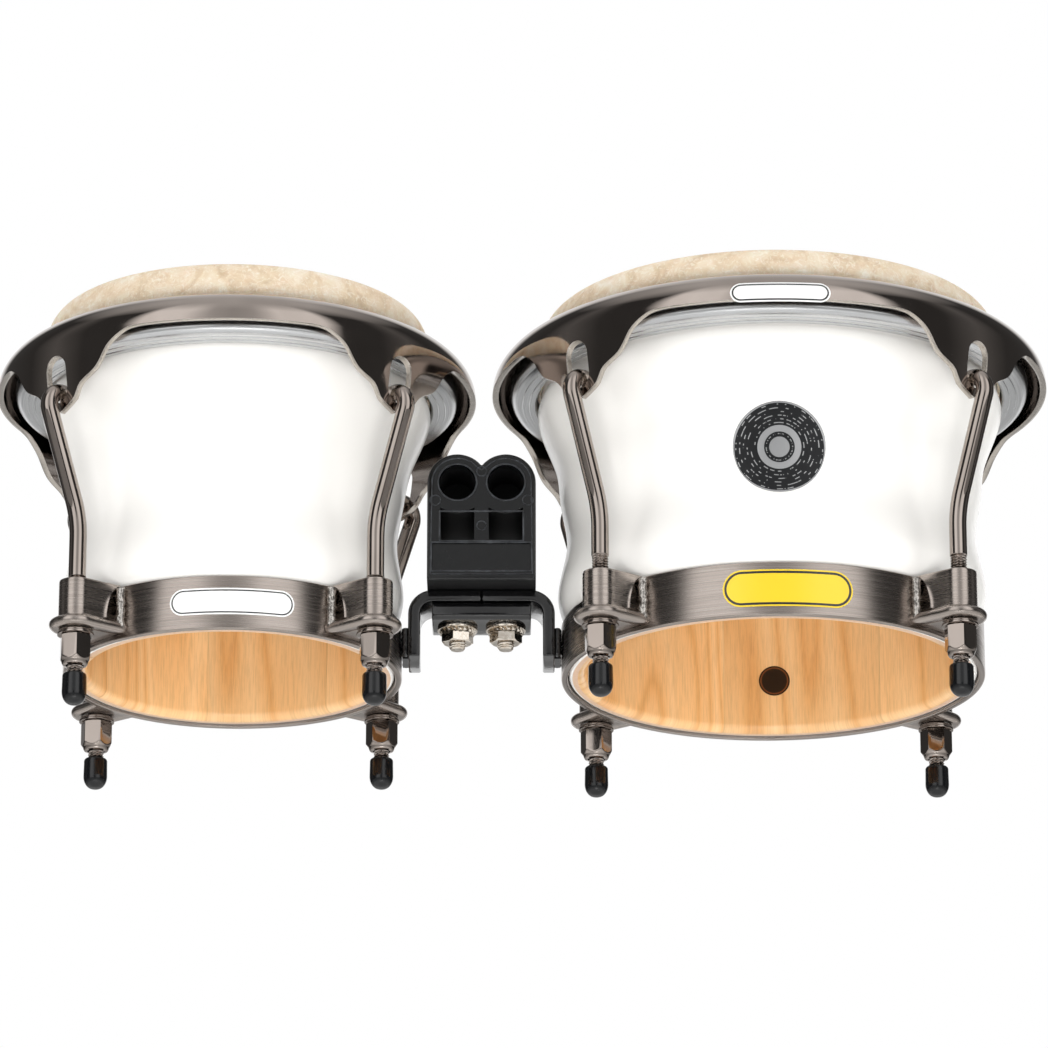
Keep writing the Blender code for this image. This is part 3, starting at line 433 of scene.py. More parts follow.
def weld_metal(colours):
    """Weld bead left as it froze, under the plating: bright, rippled and lumpy."""
    made, tree, shader = new_material("plated_weld_bead", "#A8A29C", 0.14, 1.0)
    place = object_place(tree)
    ripple = noise_value(tree, place, 480, 3, 0.6, 0.8)
    colour = ramp(tree, ripple, ((0.35, "#6F6A66"), (0.6, "#C8C3BD")))
    tree.links.new(colour, shader.inputs["Base Color"])
    bump(tree, shader, ripple, 0.7, 0.5 * MM)
    return made


def turned_zinc(colours, drum):
    """Zinc-plated steel hoop: bright, with faint turning steps round it."""
    made, tree, shader = new_material(f"{drum.name}_bright_zinc", colours.zinc, 0.25, 1.0)
    place = round_place(tree, drum.x, drum.mouth)
    lines = noise_value(tree, stretched(tree, place, (6, 1500, 1500)), 1.0, 3, 0.6)
    colour = ramp(tree, lines, ((0.3, "#B9BABC"), (0.6, colours.zinc)))
    tree.links.new(colour, shader.inputs["Base Color"])
    bump(tree, shader, lines, 0.3, 0.08 * MM)
    return made


def warm_nickel(colours):
    """Nickel-plated fasteners: bright, slightly yellow, with light wear."""
    made, tree, shader = new_material("bright_nickel_plate", colours.warm_nickel, 0.14, 1.0)
    wear = noise_value(tree, object_place(tree), 450, 4, 0.65)
    tree.links.new(span(tree, wear, 0.08, 0.3, 0.35, 0.7), shader.inputs["Roughness"])
    colour = ramp(tree, wear, ((0.3, "#C9BDAE"), (0.6, colours.warm_nickel)))
    tree.links.new(colour, shader.inputs["Base Color"])
    bump(tree, shader, wear, 0.12, 0.05 * MM)
    return made


def cap_rubber(colours):
    """Moulded black rubber: satin, with a fine dusty grain."""
    made, tree, shader = new_material("moulded_rubber", colours.rubber, 0.42)
    grain = noise_value(tree, object_place(tree), 1500, 3, 0.6)
    tree.links.new(span(tree, grain, 0.14, 0.22, 0.3, 0.7), shader.inputs["Roughness"])
    bump(tree, shader, grain, 0.15, 0.05 * MM)
    return made


def block_nylon(colours):
    """Glass-filled nylon moulding: black, softly glossy, with swirls of flow and fine scuffs."""
    made, tree, shader = new_material("moulded_nylon", colours.moulded, 0.34)
    place = object_place(tree)
    flow = noise_value(tree, place, 120, 3, 0.55, 1.6)
    scuffs_and_painted_sheen = noise_value(tree, place, 900, 3, 0.6)
    # the cores' walls were never polished, so bores and pockets are dull; their base colour also goes near
    # black deeper inside the block, which is painted shade
    split = node(tree, "ShaderNodeSeparateXYZ", {0: place})
    inward = node(tree, "ShaderNodeMath", {0: split.outputs[1]}, operation="ABSOLUTE")
    face = span(tree, inward.outputs[0], 0, 1, 25.6 * MM, 27.4 * MM)
    # near black inside the bores and pockets: painted shade
    colour = ramp(tree, face, ((0.0, "#020203"), (1.0, colours.moulded)))
    tree.links.new(colour, shader.inputs["Base Color"])
    polished = span(tree, flow, 0.11, 0.22, 0.3, 0.7)
    rough = node(tree, "ShaderNodeMix", {0: face, 2: 0.75, 3: polished}, data_type="FLOAT")
    tree.links.new(rough.outputs[0], shader.inputs["Roughness"])
    both = node(tree, "ShaderNodeMath", {0: flow, 1: scuffs_and_painted_sheen}, operation="ADD")
    bump(tree, shader, both.outputs[0], 0.1, 0.16 * MM)
    return made


def highlight_painted_nylon(colours):
    """The same nylon on the raised marks, paler all over in a blotchy tone: a painted highlight on their
    edges.
    """
    made, tree, shader = new_material("highlight_painted_nylon", "#2C2E31", 0.3)
    scuffs_and_painted_sheen = noise_value(tree, object_place(tree), 300, 3, 0.6)
    # the pale blotchy tone is painted highlight on the raised marks
    tree.links.new(ramp(tree, scuffs_and_painted_sheen, ((0.35, "#17181B"), (0.7, "#3B3E42"))), shader.inputs["Base Color"])
    bump(tree, shader, scuffs_and_painted_sheen, 0.2, 0.05 * MM)
    return made


def arm_paint(colours):
    """Black gloss powder coat over welded bar: sharp reflections on a slightly lumpy film."""
    made, tree, shader = new_material("black_powder_coat", colours.paint, 0.1)
    shader.inputs["Coat Weight"].default_value = 0.5
    shader.inputs["Coat Roughness"].default_value = 0.04
    film = noise_value(tree, object_place(tree), 260, 3, 0.55, 0.5)
    bump(tree, shader, film, 0.35, 0.3 * MM)
    return made


def printed_film(name, colour, roughness=0.3):
    """Printed vinyl label under clear film: even colour, soft gloss."""
    made, tree, shader = new_material(name, colour, roughness)
    shader.inputs["Coat Weight"].default_value = 0.6
    shader.inputs["Coat Roughness"].default_value = 0.08
    print_grain = noise_value(tree, object_place(tree), 2500, 2)
    bump(tree, shader, print_grain, 0.06, 0.03 * MM)
    return made


def badge_foil(colours, place_x, place_z):
    """Dark foil badge printed with broken silver arcs round a plain boss, a pattern and no mark."""
    made, tree, shader = new_material("printed_badge_foil", "#3A3B3E", 0.3, 0.4)
    place = object_place(tree, (-place_x, 0, -place_z))
    split = node(tree, "ShaderNodeSeparateXYZ", {0: place})
    flat = node(tree, "ShaderNodeCombineXYZ", {0: split.outputs[0], 1: split.outputs[2]})
    reach = node(tree, "ShaderNodeVectorMath", {0: flat.outputs[0]}, operation="LENGTH").outputs["Value"]
    angle = node(tree, "ShaderNodeMath", {0: split.outputs[2], 1: split.outputs[0]}, operation="ARCTAN2")
    # fine broken arcs, a plain boss in the middle and a line round the edge
    turn = node(tree, "ShaderNodeMath", {0: angle.outputs[0], 1: 2.2}, operation="MULTIPLY")
    row = node(tree, "ShaderNodeMath", {0: reach, 1: 1.7 * MM}, operation="SNAP")
    row = node(tree, "ShaderNodeMath", {0: row.outputs[0], 1: 900.0}, operation="MULTIPLY")
    spot = node(tree, "ShaderNodeCombineXYZ", {0: turn.outputs[0], 1: row.outputs[0]})
    broken = noise_value(tree, spot.outputs[0], 2.2, 2, 0.6)
    broken = node(tree, "ShaderNodeMath", {0: broken, 1: 0.52}, operation="GREATER_THAN")
    saw = node(tree, "ShaderNodeMath", {0: reach, 1: 0.85 * MM}, operation="PINGPONG")
    line = node(tree, "ShaderNodeMath", {0: saw.outputs[0], 1: 0.64 * MM}, operation="GREATER_THAN")
    line = node(tree, "ShaderNodeMath", {0: line.outputs[0], 1: broken.outputs[0]}, operation="MULTIPLY")
    edge = node(tree, "ShaderNodeMath", {0: reach, 1: 20.2 * MM}, operation="GREATER_THAN")
    boss = node(tree, "ShaderNodeMath", {0: reach, 1: 8.4 * MM, 2: 1.5 * MM}, operation="COMPARE")
    inside = node(tree, "ShaderNodeMath", {0: reach, 1: 4.6 * MM}, operation="LESS_THAN")
    outer = node(tree, "ShaderNodeMath", {0: line.outputs[0], 1: edge.outputs[0]}, operation="MAXIMUM")
    outer = node(tree, "ShaderNodeMath", {0: outer.outputs[0], 1: boss.outputs[0]}, operation="MAXIMUM")
    full = node(tree, "ShaderNodeMath", {0: outer.outputs[0], 1: inside.outputs[0]}, operation="MAXIMUM",
                use_clamp=True)
    colour = ramp(tree, full.outputs[0], ((0.4, "#131416"), (0.6, "#9FA0A1")))
    tree.links.new(colour, shader.inputs["Base Color"])
    tree.links.new(span(tree, full.outputs[0], 0.35, 0.22), shader.inputs["Roughness"])
    return made


# ---------------------------------------------------------------------------------------------
# Mesh helpers
# ---------------------------------------------------------------------------------------------
def arc(centre, radii, start_deg, end_deg, steps):
    """Points along an elliptical arc, both ends included."""
    points = []
    for i in range(steps + 1):
        angle = math.radians(start_deg + (end_deg - start_deg) * i / steps)
        points.append((centre[0] + radii[0] * math.cos(angle), centre[1] + radii[1] * math.sin(angle)))
    return points


def smooth_through(stations, steps):
    """Points along a Catmull-Rom curve through the stations, both ends included."""
    padded = [stations[0], *stations, stations[-1]]
    points = []
    for i in range(1, len(padded) - 2):
        before, start, end, after = (Vector(p) for p in padded[i - 1:i + 3])
        for step in range(steps):
            t = step / steps
            points.append(tuple(0.5 * (
                2 * start
                + (end - before) * t
                + (2 * before - 5 * start + 4 * end - after) * t ** 2
                + (3 * start - before - 3 * end + after) * t ** 3
            )))
    points.append(tuple(stations[-1]))
    return points


def rounded(outline, radius, steps=3, keep=()):
    """A closed outline with its corners rounded, apart from the numbered ones kept sharp."""
    points = []
    count = len(outline)
    for i, corner in enumerate(outline):
        here = Vector(corner)
        if i in keep:
            points.append(tuple(here))
            continue
        back = Vector(outline[i - 1]) - here
        ahead = Vector(outline[(i + 1) % count]) - here
        reach = min(radius, back.length / 2.2, ahead.length / 2.2)
        start = here + back.normalized() * reach
        end = here + ahead.normalized() * reach
        for step in range(steps + 1):
            t = step / steps
            points.append(tuple(start * (1 - t) ** 2 + here * 2 * t * (1 - t) + end * t ** 2))
    return points


def spin_outline(outline, segments, closed=True):
    """Spin an outline of (radius, height) points round the upright axis."""
    bm = bmesh.new()
    verts = [bm.verts.new((radius, 0, height)) for radius, height in outline]
    edges = [bm.edges.new(pair) for pair in zip(verts, verts[1:])]
    if closed:
        edges.append(bm.edges.new((verts[-1], verts[0])))
    bmesh.ops.spin(bm, geom=verts + edges, cent=(0, 0, 0), axis=(0, 0, 1), dvec=(0, 0, 0),
                   angle=math.tau, steps=segments, use_merge=True, use_duplicate=False)
    return bm


def loft(levels, capped=True):
    """Bridge equal closed loops of points one after another."""
    bm = bmesh.new()
    loops = []
    for level in levels:
        verts = [bm.verts.new(point) for point in level]
        loops.append([bm.edges.new((verts[i - 1], verts[i])) for i in range(len(verts))])
    for lower, upper in zip(loops, loops[1:]):
        bmesh.ops.bridge_loops(bm, edges=lower + upper)
    if capped:
        bmesh.ops.holes_fill(bm, edges=loops[0] + loops[-1], sides=0)
    return bm


def close_mesh(bm):
    """Merge doubles and turn every face outwards."""
    bmesh.ops.remove_doubles(bm, verts=bm.verts, dist=0.002 * MM)
    bmesh.ops.recalc_face_normals(bm, faces=bm.faces)


def add_island(bm, other, move=None):
    """Put another closed shape into this one as a separate island."""
    close_mesh(other)
    if move is not None:
        bmesh.ops.transform(other, matrix=move, verts=other.verts)
    spare = bpy.data.meshes.new("spare")
    other.to_mesh(spare)
    other.free()
    bm.from_mesh(spare)
    bpy.data.meshes.remove(spare)


def bevel_edges(bm, width, angle_deg=30, segments=2):
    """Round every edge that is sharper than an angle."""
    limit = math.radians(angle_deg)
    sharp = [e for e in bm.edges if len(e.link_faces) == 2 and e.calc_face_angle(0) > limit]
    bmesh.ops.bevel(bm, geom=sharp, offset=width, offset_type="OFFSET", segments=segments, profile=0.5,
                    affect="EDGES", clamp_overlap=True, material=-1)


def finish_piece(bm, name, materials, body, replaced=(), place=None, sharp_deg=32):
    """Make the piece's object: placed in its mesh, smooth, riding on its body."""
    close_mesh(bm)
    if place is not None:
        bmesh.ops.transform(bm, matrix=place, verts=bm.verts)
    mesh = bpy.data.meshes.new(name)
    bm.to_mesh(mesh)
    bm.free()
    mesh.shade_smooth()
    mesh.set_sharp_from_angle(angle=math.radians(sharp_deg))
    piece = bpy.data.objects.new(name, mesh)
    for made in materials:
        mesh.materials.append(made)
    bpy.context.scene.collection.objects.link(piece)
    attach(piece, body)
    if replaced:
        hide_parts(*replaced)
    return piece


def boolean_cut(piece, cutters, sharp_deg=32):
    """Cut shapes out of a piece for good, and remove the cutters."""
    for number, bm in enumerate(cutters):
        close_mesh(bm)
        mesh = bpy.data.meshes.new("cutter")
        bm.to_mesh(mesh)
        bm.free()
        for made in piece.data.materials:
            mesh.materials.append(made)
        tool = bpy.data.objects.new(f"cutter_{number}", mesh)
        bpy.context.scene.collection.objects.link(tool)
        step = piece.modifiers.new("cut", "BOOLEAN")
        step.operation = "DIFFERENCE"
        step.solver = "EXACT"
        step.object = tool
    graph = bpy.context.evaluated_depsgraph_get()
    result = bpy.data.meshes.new_from_object(piece.evaluated_get(graph))
    tools = [step.object for step in piece.modifiers]
    piece.modifiers.clear()
    piece.data = result
    result.shade_smooth()
    result.set_sharp_from_angle(angle=math.radians(sharp_deg))
    for tool in tools:
        bpy.data.objects.remove(tool, do_unlink=True)


def tube(path, radius_at, sides, capped=True):
    """A round bar along a path in the XZ plane, whose radius may change with its height."""
    levels = []
    for i, point in enumerate(path):
        ahead = Vector(path[min(i + 1, len(path) - 1)]) - Vector(path[max(i - 1, 0)])
        ahead.normalize()
        across = Vector((-ahead.y, ahead.x))
        radius = radius_at(i, point)
        level = []
        for side in range(sides):
            angle = math.tau * side / sides
            out = across * radius * math.cos(angle)
            level.append((point[0] + out.x, radius * math.sin(angle), point[1] + out.y))
        levels.append(level)
    return loft(levels, capped)


def hexagon_radius(flats, azimuth):
    """Distance from the centre to a hexagon's side at an azimuth, a corner at azimuth 0."""
    sixth = math.pi / 3
    return flats / 2 / math.cos((azimuth % sixth) - sixth / 2)


def hex_nut(flats, bottom, top, bore, low_cone, high_cone, turn_deg=0.0, neck=()):
    """Hexagon nut with conical chamfers (rise per radius) at its ends and an optional turned neck below."""
    sides = 72
    corner = flats / math.sqrt(3)
    start = flats / 2 * 0.97
    levels = []
    chamfer_rise = (corner - start) * low_cone
    for radius, height in neck:
        levels.append((height, radius))
    for step in range(5):
        levels.append((bottom + chamfer_rise * step / 4, start + (corner - start) * step / 4))
    top_rise = (corner - start) * high_cone
    for step in range(5):
        levels.append((top - top_rise * (1 - step / 4), corner - (corner - start) * step / 4))
    loops = []
    for height, cone in levels:
        loop = []
        for side in range(sides):
            azimuth = math.tau * side / sides
            radius = min(cone, hexagon_radius(flats, azimuth))
            turned = azimuth + math.radians(turn_deg)
            loop.append((radius * math.cos(turned), radius * math.sin(turned), height))
        loops.append(loop)
    for height in (top, levels[0][0]):
        loops.append([
            (bore * math.cos(math.tau * side / sides + math.radians(turn_deg)),
             bore * math.sin(math.tau * side / sides + math.radians(turn_deg)), height)
            for side in range(sides)
        ])
    loops.append(loops[0])
    return loft(loops, capped=False)


def drum_place(drum):
    """Places a shape made round the world's axis on a drum."""
    return Matrix.Translation((drum.x, 0, 0))


def hook_place(drum, azimuth_deg):
    """Places a shape made on a rod's own axis, its X pointing away from the drum."""
    azimuth = math.radians(azimuth_deg)
    spot = (drum.x + drum.lug_circle * math.cos(azimuth), drum.lug_circle * math.sin(azimuth), 0)
    return Matrix.Translation(spot) @ Matrix.Rotation(azimuth, 4, "Z")


# ---------------------------------------------------------------------------------------------
# Drum shapes
# ---------------------------------------------------------------------------------------------
def shell_side(drum, steps=8):
    """Outer side of the shell as (radius, height), from inside the bottom ring up to the collar."""
    foot = drum.ring - 3.5 * MM
    stations = [
        (foot, RING_TOP_Z), (drum.belly, BELLY_Z), (drum.waist, WAIST_Z), (drum.neck, NECK_Z),
        (drum.shoulder, SHOULDER_Z), (drum.mouth, MOUTH_Z), (drum.bearing, COLLAR_Z),
    ]
    return smooth_through(stations, steps)


def side_radius(drum, height):
    """Outer radius of the shell at a height."""
    line = shell_side(drum)
    for (r0, z0), (r1, z1) in zip(line, line[1:]):
        if z0 <= height <= z1:
            return r0 + (r1 - r0) * (height - z0) / (z1 - z0)
    return line[0][0]


def inner_radius(drum, wall, height):
    """Radius inside the shell, which is turned straight below the waist."""
    if height >= WAIST_Z:
        return side_radius(drum, height) - wall
    foot = drum.ring - 3.5 * MM
    share = (height - SHELL_FOOT_Z) / (WAIST_Z - SHELL_FOOT_Z)
    return foot + (drum.waist - foot) * share - wall


def rim_wall_radius(drum, height):
    """Outer radius of the rim's wall below its crown."""
    below = max(0.0, drum.rim_top - RIM_CROWN - height)
    return drum.rim - below ** 2 / (2 * RIM_TUCK)


def rim_front_radius(drum, height):
    """Outer radius of the rim anywhere below its top, away from the ears."""
    crown_z = drum.rim_top - RIM_CROWN
    if height < crown_z:
        return rim_wall_radius(drum, height)
    mouth = drum.collar + 1.1 * MM
    return mouth + (drum.rim - mouth) * math.sqrt(max(0.0, 1 - ((height - crown_z) / RIM_CROWN) ** 2))


EAR_LINE = smooth_through([(width * MM, drop * MM) for width, drop in EAR_STATIONS], 10)


def edge_drop(drum, azimuth):
    """Drop of the rim's cut edge below its top, at an azimuth in radians."""
    quarter = math.pi / 2
    away = abs((azimuth - quarter / 2) % quarter)
    away = min(away, quarter - away) * drum.rim
    for (w0, d0), (w1, d1) in zip(EAR_LINE, EAR_LINE[1:]):
        if w0 <= away <= w1:
            return d0 + (d1 - d0) * (away - w0) / max(w1 - w0, 1e-9)
    return RIM_EDGE_DROP


def hook_line(drum, rod_radius, sheet):
    """The hook rod's centre line as (distance outside the lug circle, height), foot first."""
    inside_bend = HOOK_BEND - rod_radius
    sag = inside_bend - math.sqrt(inside_bend ** 2 - (sheet / 2) ** 2)
    seat_z = drum.rim_top - SEAT_DROP + sag + 0.4 * MM
    bend_z = seat_z + rod_radius - HOOK_BEND
    seat = rim_wall_radius(drum, seat_z) - sheet / 2 - drum.lug_circle
    reach = Vector((seat, bend_z - ROD_BEND_Z))
    tangent = math.sqrt(reach.length_squared - HOOK_BEND ** 2)
    lean = math.atan2(reach.x, reach.y) + math.atan2(HOOK_BEND, tangent)
    ease = 9 * MM
    end = Vector((math.sin(lean), math.cos(lean))) * ease
    line = []
    height = ROD_FOOT_Z
    while height < ROD_BEND_Z - ease - 0.5 * MM:
        line.append((0.0, height))
        threaded = CAP_TOP_Z - 1 * MM < height < NUT_BOTTOM_Z + 1 * MM or 56 * MM < height < 68 * MM
        height += 0.14 * MM if threaded else 1.6 * MM
    for step in range(9):
        t = step / 8
        start = Vector((0, -ease))
        spot = start * (1 - t) ** 2 + end * t ** 2
        line.append((spot.x, ROD_BEND_Z + spot.y))
    bend = arc((seat, bend_z), (HOOK_BEND, HOOK_BEND), -math.degrees(lean), HOOK_END_DEG, 22)
    first = Vector(line[-1])
    last = Vector(bend[0])
    line += [tuple(first.lerp(last, t / 6)) for t in range(1, 6)]
    return line + bend


class SizedOperator(bpy.types.Operator):
    """Shared base of the operators, which read the scene's sizes and colours."""

    bl_idname = "bongo.sized"
    bl_label = "Sized"
    bl_options = {"REGISTER", "UNDO"}

    @property
    def sizes(self):
        return bpy.context.scene.bongo_sizes

    @property
    def colours(self):
        return bpy.context.scene.bongo_colours


def shared(maker, *args):
    """Make a material once and give the same one afterwards."""
    key = (maker.__name__, *[getattr(a, "name", a) for a in args[1:]])
    if key not in MADE:
        MADE[key] = maker(*args)
    return MADE[key]


MADE = {}


class BONGO_OT_shells(SizedOperator):
    """Turned shells: lacquered outside, bare lower edge, sealed wood inside"""

    bl_idname = "bongo.shells"
    bl_label = "Shells"

    def execute(self, context):
        wall = self.sizes.shell_wall
        for drum in DRUMS:
            foot = drum.ring - 3.5 * MM
            side = shell_side(drum)
            round_foot = arc((foot - 1.6 * MM, SHELL_FOOT_Z + 1.6 * MM), (1.6 * MM, 1.6 * MM), -90, 0, 5)
            edge = arc((drum.bearing - 6.6 * MM, BEARING_Z), (6.6 * MM, SHELL_TOP_Z - BEARING_Z), 0, 90, 8)
            inner = [(inner_radius(drum, wall, height), height) for radius, height in reversed(side)]
            inner_foot = arc((foot - wall + 4 * MM, SHELL_FOOT_Z + 4 * MM), (4 * MM, 4 * MM), 180, 270, 8)
            outline = round_foot + side + edge + [(drum.bearing - wall, SHELL_TOP_Z - 2 * MM)]
            outline += inner + inner_foot
            bm = spin_outline(outline, 160)
            for face in bm.faces:
                middle = face.calc_center_median()
                radius = math.hypot(middle.x, middle.y)
                skin_radius = side_radius(drum, middle.z) if middle.z > RING_TOP_Z else foot - 0.1 * MM
                if middle.z < SHELL_FOOT_Z + 0.3 * MM and radius < foot - 1.5 * MM:
                    face.material_index = 2 if radius > foot - wall + 4 * MM else 1
                elif radius < skin_radius - wall / 2:
                    face.material_index = 1
            finish_piece(
                bm, f"{drum.name}_turned_shell",
                (shared(white_lacquer, self.colours), shared(turned_wood, self.colours, drum),
                 shared(raw_wood, self.colours)),
                DRUMS_BODY, (f"{drum.name}_shell",), drum_place(drum))
        return {"FINISHED"}


class BONGO_OT_heads(SizedOperator):
    """Natural skin heads, with fine pleats where the collar turns down"""

    bl_idname = "bongo.heads"
    bl_label = "Heads"

    def execute(self, context):
        gap = GAP
        skin = self.sizes.skin
        depth = self.sizes.pleat_depth
        for drum in DRUMS:
            centre = (drum.bearing - 6.6 * MM, BEARING_Z)
            under = (6.6 * MM + gap, SHELL_TOP_Z - BEARING_Z + gap)
            over = (under[0] + skin, under[1] + skin)
            foot = drum.rim_top - 18 * MM
            flat = [(centre[0] * t / 14, BEARING_Z + over[1]) for t in range(14)]
            outline = flat + list(reversed(arc(centre, over, 0, 90, 16)))
            outline += [(centre[0] + over[0], BEARING_Z - (BEARING_Z - foot) * t / 10) for t in range(1, 11)]
            outline += [(centre[0] + under[0], foot)]
            outline += arc(centre, under, 0, 90, 8)
            outline += [(0, BEARING_Z + under[1])]
            bm = spin_outline(outline, 400)
            close_mesh(bm)
            for vert in bm.verts:
                radius = math.hypot(vert.co.x, vert.co.y)
                if radius < centre[0] or radius < 1 * MM:
                    continue
                azimuth = math.atan2(vert.co.y, vert.co.x)
                down = min(1.0, max(0.0, (BEARING_Z + over[1] - vert.co.z) / (16 * MM)))
                spot = Vector((math.cos(azimuth), math.sin(azimuth), 0))
                pleat = noise.noise(spot * drum.mouth * 420 + Vector((0, 0, vert.co.z * 25)))
                broad = noise.noise(spot * 9 + Vector((7, 3, 1)))
                move = depth * down * (0.7 * pleat + 0.5 * broad) - depth * 0.5 * down
                vert.co += spot * move
            finish_piece(bm, f"{drum.name}_skin_head", (shared(calf_skin, self.colours, drum),),
                         DRUMS_BODY, (f"{drum.name}_head",), drum_place(drum))
        return {"FINISHED"}


class BONGO_OT_flesh_hoops(SizedOperator):
    """Zinc-plated flesh hoops under the rims, with turned steps"""

    bl_idname = "bongo.flesh_hoops"
    bl_label = "Flesh hoops"

    def execute(self, context):
        for drum in DRUMS:
            inner = drum.collar + GAP + 0.4 * MM
            outer = inner + 12.1 * MM
            bottom = drum.rim_top - 22.5 * MM
            top = bottom + 14.5 * MM
            outline = [(inner, top), (inner, bottom + 0.8 * MM), (inner + 0.8 * MM, bottom)]
            outline += [(inner + 3.2 * MM, bottom), (inner + 3.5 * MM, bottom + 0.35 * MM)]
            outline += [(inner + 6.4 * MM, bottom + 0.45 * MM), (inner + 6.7 * MM, bottom + 0.8 * MM)]
            outline += arc((outer - 4.5 * MM, bottom + 5.4 * MM), (4.5 * MM, 4.5 * MM), -90, 0, 8)
            outline += arc((inner + 4.5 * MM, top - 7.2 * MM), (7.6 * MM, 7.2 * MM), 0, 90, 8)
            finish_piece(spin_outline(outline, 160), f"{drum.name}_turned_hoop",
                         (shared(turned_zinc, self.colours, drum),), drum.tension_body,
                         (f"{drum.name}_flesh_hoop",), drum_place(drum))
        return {"FINISHED"}


class BONGO_OT_rims(SizedOperator):
    """Pressed rims: a rolled crown and four slotted ears, with bright cut edges"""

    bl_idname = "bongo.rims"
    bl_label = "Rims"

    def wall(self, drum, sheet):
        """Rows of the rim's closed section as (kind, radius or share, height or share)."""
        mouth = drum.collar + 1.1 * MM
        crown_z = drum.rim_top - RIM_CROWN
        outer = arc((mouth, crown_z), (drum.rim - mouth, RIM_CROWN), 90, 0, 20)
        inner = arc((mouth, crown_z), (drum.rim - mouth - sheet, RIM_CROWN - sheet), 0, 90, 14)
        rows = [("fixed", radius, height) for radius, height in outer]
        rows += [("outer", 0.0, t / 16) for t in range(1, 16)]
        rows += [("outer", 0.0, 1.0), ("edge", 0.15, 0.0), ("edge", 0.5, 0.0), ("edge", 0.85, 0.0)]
        rows += [("inner", sheet, 1.0)]
        rows += [("inner", sheet, t / 16) for t in range(15, 0, -1)]
        rows += [("fixed", radius, height) for radius, height in inner]
        rows += [("fixed", mouth - 0.4 * MM, drum.rim_top - sheet * 0.75),
                 ("fixed", mouth - 0.55 * MM, drum.rim_top - sheet * 0.4)]
        return rows

    def execute(self, context):
        sheet = self.sizes.rim_sheet
        columns = 480
        ease = 0.35 * MM
        for drum in DRUMS:
            rows = self.wall(drum, sheet)
            crown_z = drum.rim_top - RIM_CROWN
            outline = [(200 * MM + 1 * MM * i, 0.0) for i in range(len(rows))]
            bm = spin_outline(outline, columns)
            close_mesh(bm)
            for vert in bm.verts:
                row = round((math.hypot(vert.co.x, vert.co.y) - 200 * MM) / MM)
                azimuth = math.atan2(vert.co.y, vert.co.x)
                kind, first, second = rows[row]
                edge_z = drum.rim_top - edge_drop(drum, azimuth)
                if kind == "fixed":
                    radius, height = first, second
                elif kind == "edge":
                    lift = 0.0 if first == 0.5 else ease * 0.12
                    height = edge_z + lift
                    radius = rim_wall_radius(drum, height) - sheet * first
                else:
                    height = crown_z + (edge_z + ease - crown_z) * second
                    radius = rim_wall_radius(drum, height) - first
                vert.co = (radius * math.cos(azimuth), radius * math.sin(azimuth), height)
            bm.normal_update()
            for face in bm.faces:
                middle = face.calc_center_median()
                azimuth = math.atan2(middle.y, middle.x)
                if middle.z < drum.rim_top - edge_drop(drum, azimuth) + ease * 1.2:
                    face.material_index = 1
            rim = finish_piece(
                bm, f"{drum.name}_pressed_rim",
                (shared(gloss_black_nickel, self.colours), shared(bright_steel, self.colours)),
                drum.tension_body, (f"{drum.name}_rim",), drum_place(drum), 40)
            cutters = []
            for azimuth_deg in HOOK_AZIMUTHS:
                cutters.append(self.slot(drum, math.radians(azimuth_deg), sheet))
            boolean_cut(rim, cutters, 40)
        return {"FINISHED"}

    def slot(self, drum, azimuth, sheet):
        """Round-ended upright slot through an ear, flared a little at the outer face."""
        top = drum.rim_top - SLOT_TOP_DROP - SLOT_HALF
        bottom = drum.rim_top - SEAT_DROP + SLOT_HALF
        outline = arc((0, top), (1, 1), 0, 180, 14) + arc((0, bottom), (1, 1), 180, 360, 14)
        outward = Vector((math.cos(azimuth), math.sin(azimuth), 0))
        sideways = Vector((-math.sin(azimuth), math.cos(azimuth), 0))
        levels = []
        for stand, grown in ((-sheet - 4 * MM, 0.0), (-0.35 * MM, 0.0), (1.6 * MM, 1.9 * MM)):
            level = []
            for i, (across, height) in enumerate(outline):
                centre = top if i < 15 else bottom
                half = SLOT_HALF + grown
                point_z = centre + (height - centre) * half
                spread = across * half
                wall = rim_wall_radius(drum, centre + (height - centre) * SLOT_HALF)
                wall = math.sqrt(wall ** 2 - spread ** 2)
                level.append(outward * (wall + stand) + sideways * spread + Vector((drum.x, 0, point_z)))
            levels.append(level)
        bm = loft(levels)
        for face in bm.faces:
            face.material_index = 1
        return bm


class BONGO_OT_bottom_rings(SizedOperator):
    """Brushed steel rings round the feet of the shells"""

    bl_idname = "bongo.bottom_rings"
    bl_label = "Bottom rings"

    def execute(self, context):
        for drum in DRUMS:
            inner = drum.ring - self.sizes.ring_wall
            corners = [(drum.ring, RING_BOTTOM_Z), (drum.ring, RING_TOP_Z), (inner, RING_TOP_Z),
                       (inner, RING_BOTTOM_Z)]
            bm = spin_outline(rounded(corners, 0.8 * MM, 4), 200)
            finish_piece(bm, f"{drum.name}_brushed_ring", (shared(brushed_black_nickel, self.colours, drum),),
                         DRUMS_BODY, (f"{drum.name}_bottom_ring",), drum_place(drum))
        return {"FINISHED"}


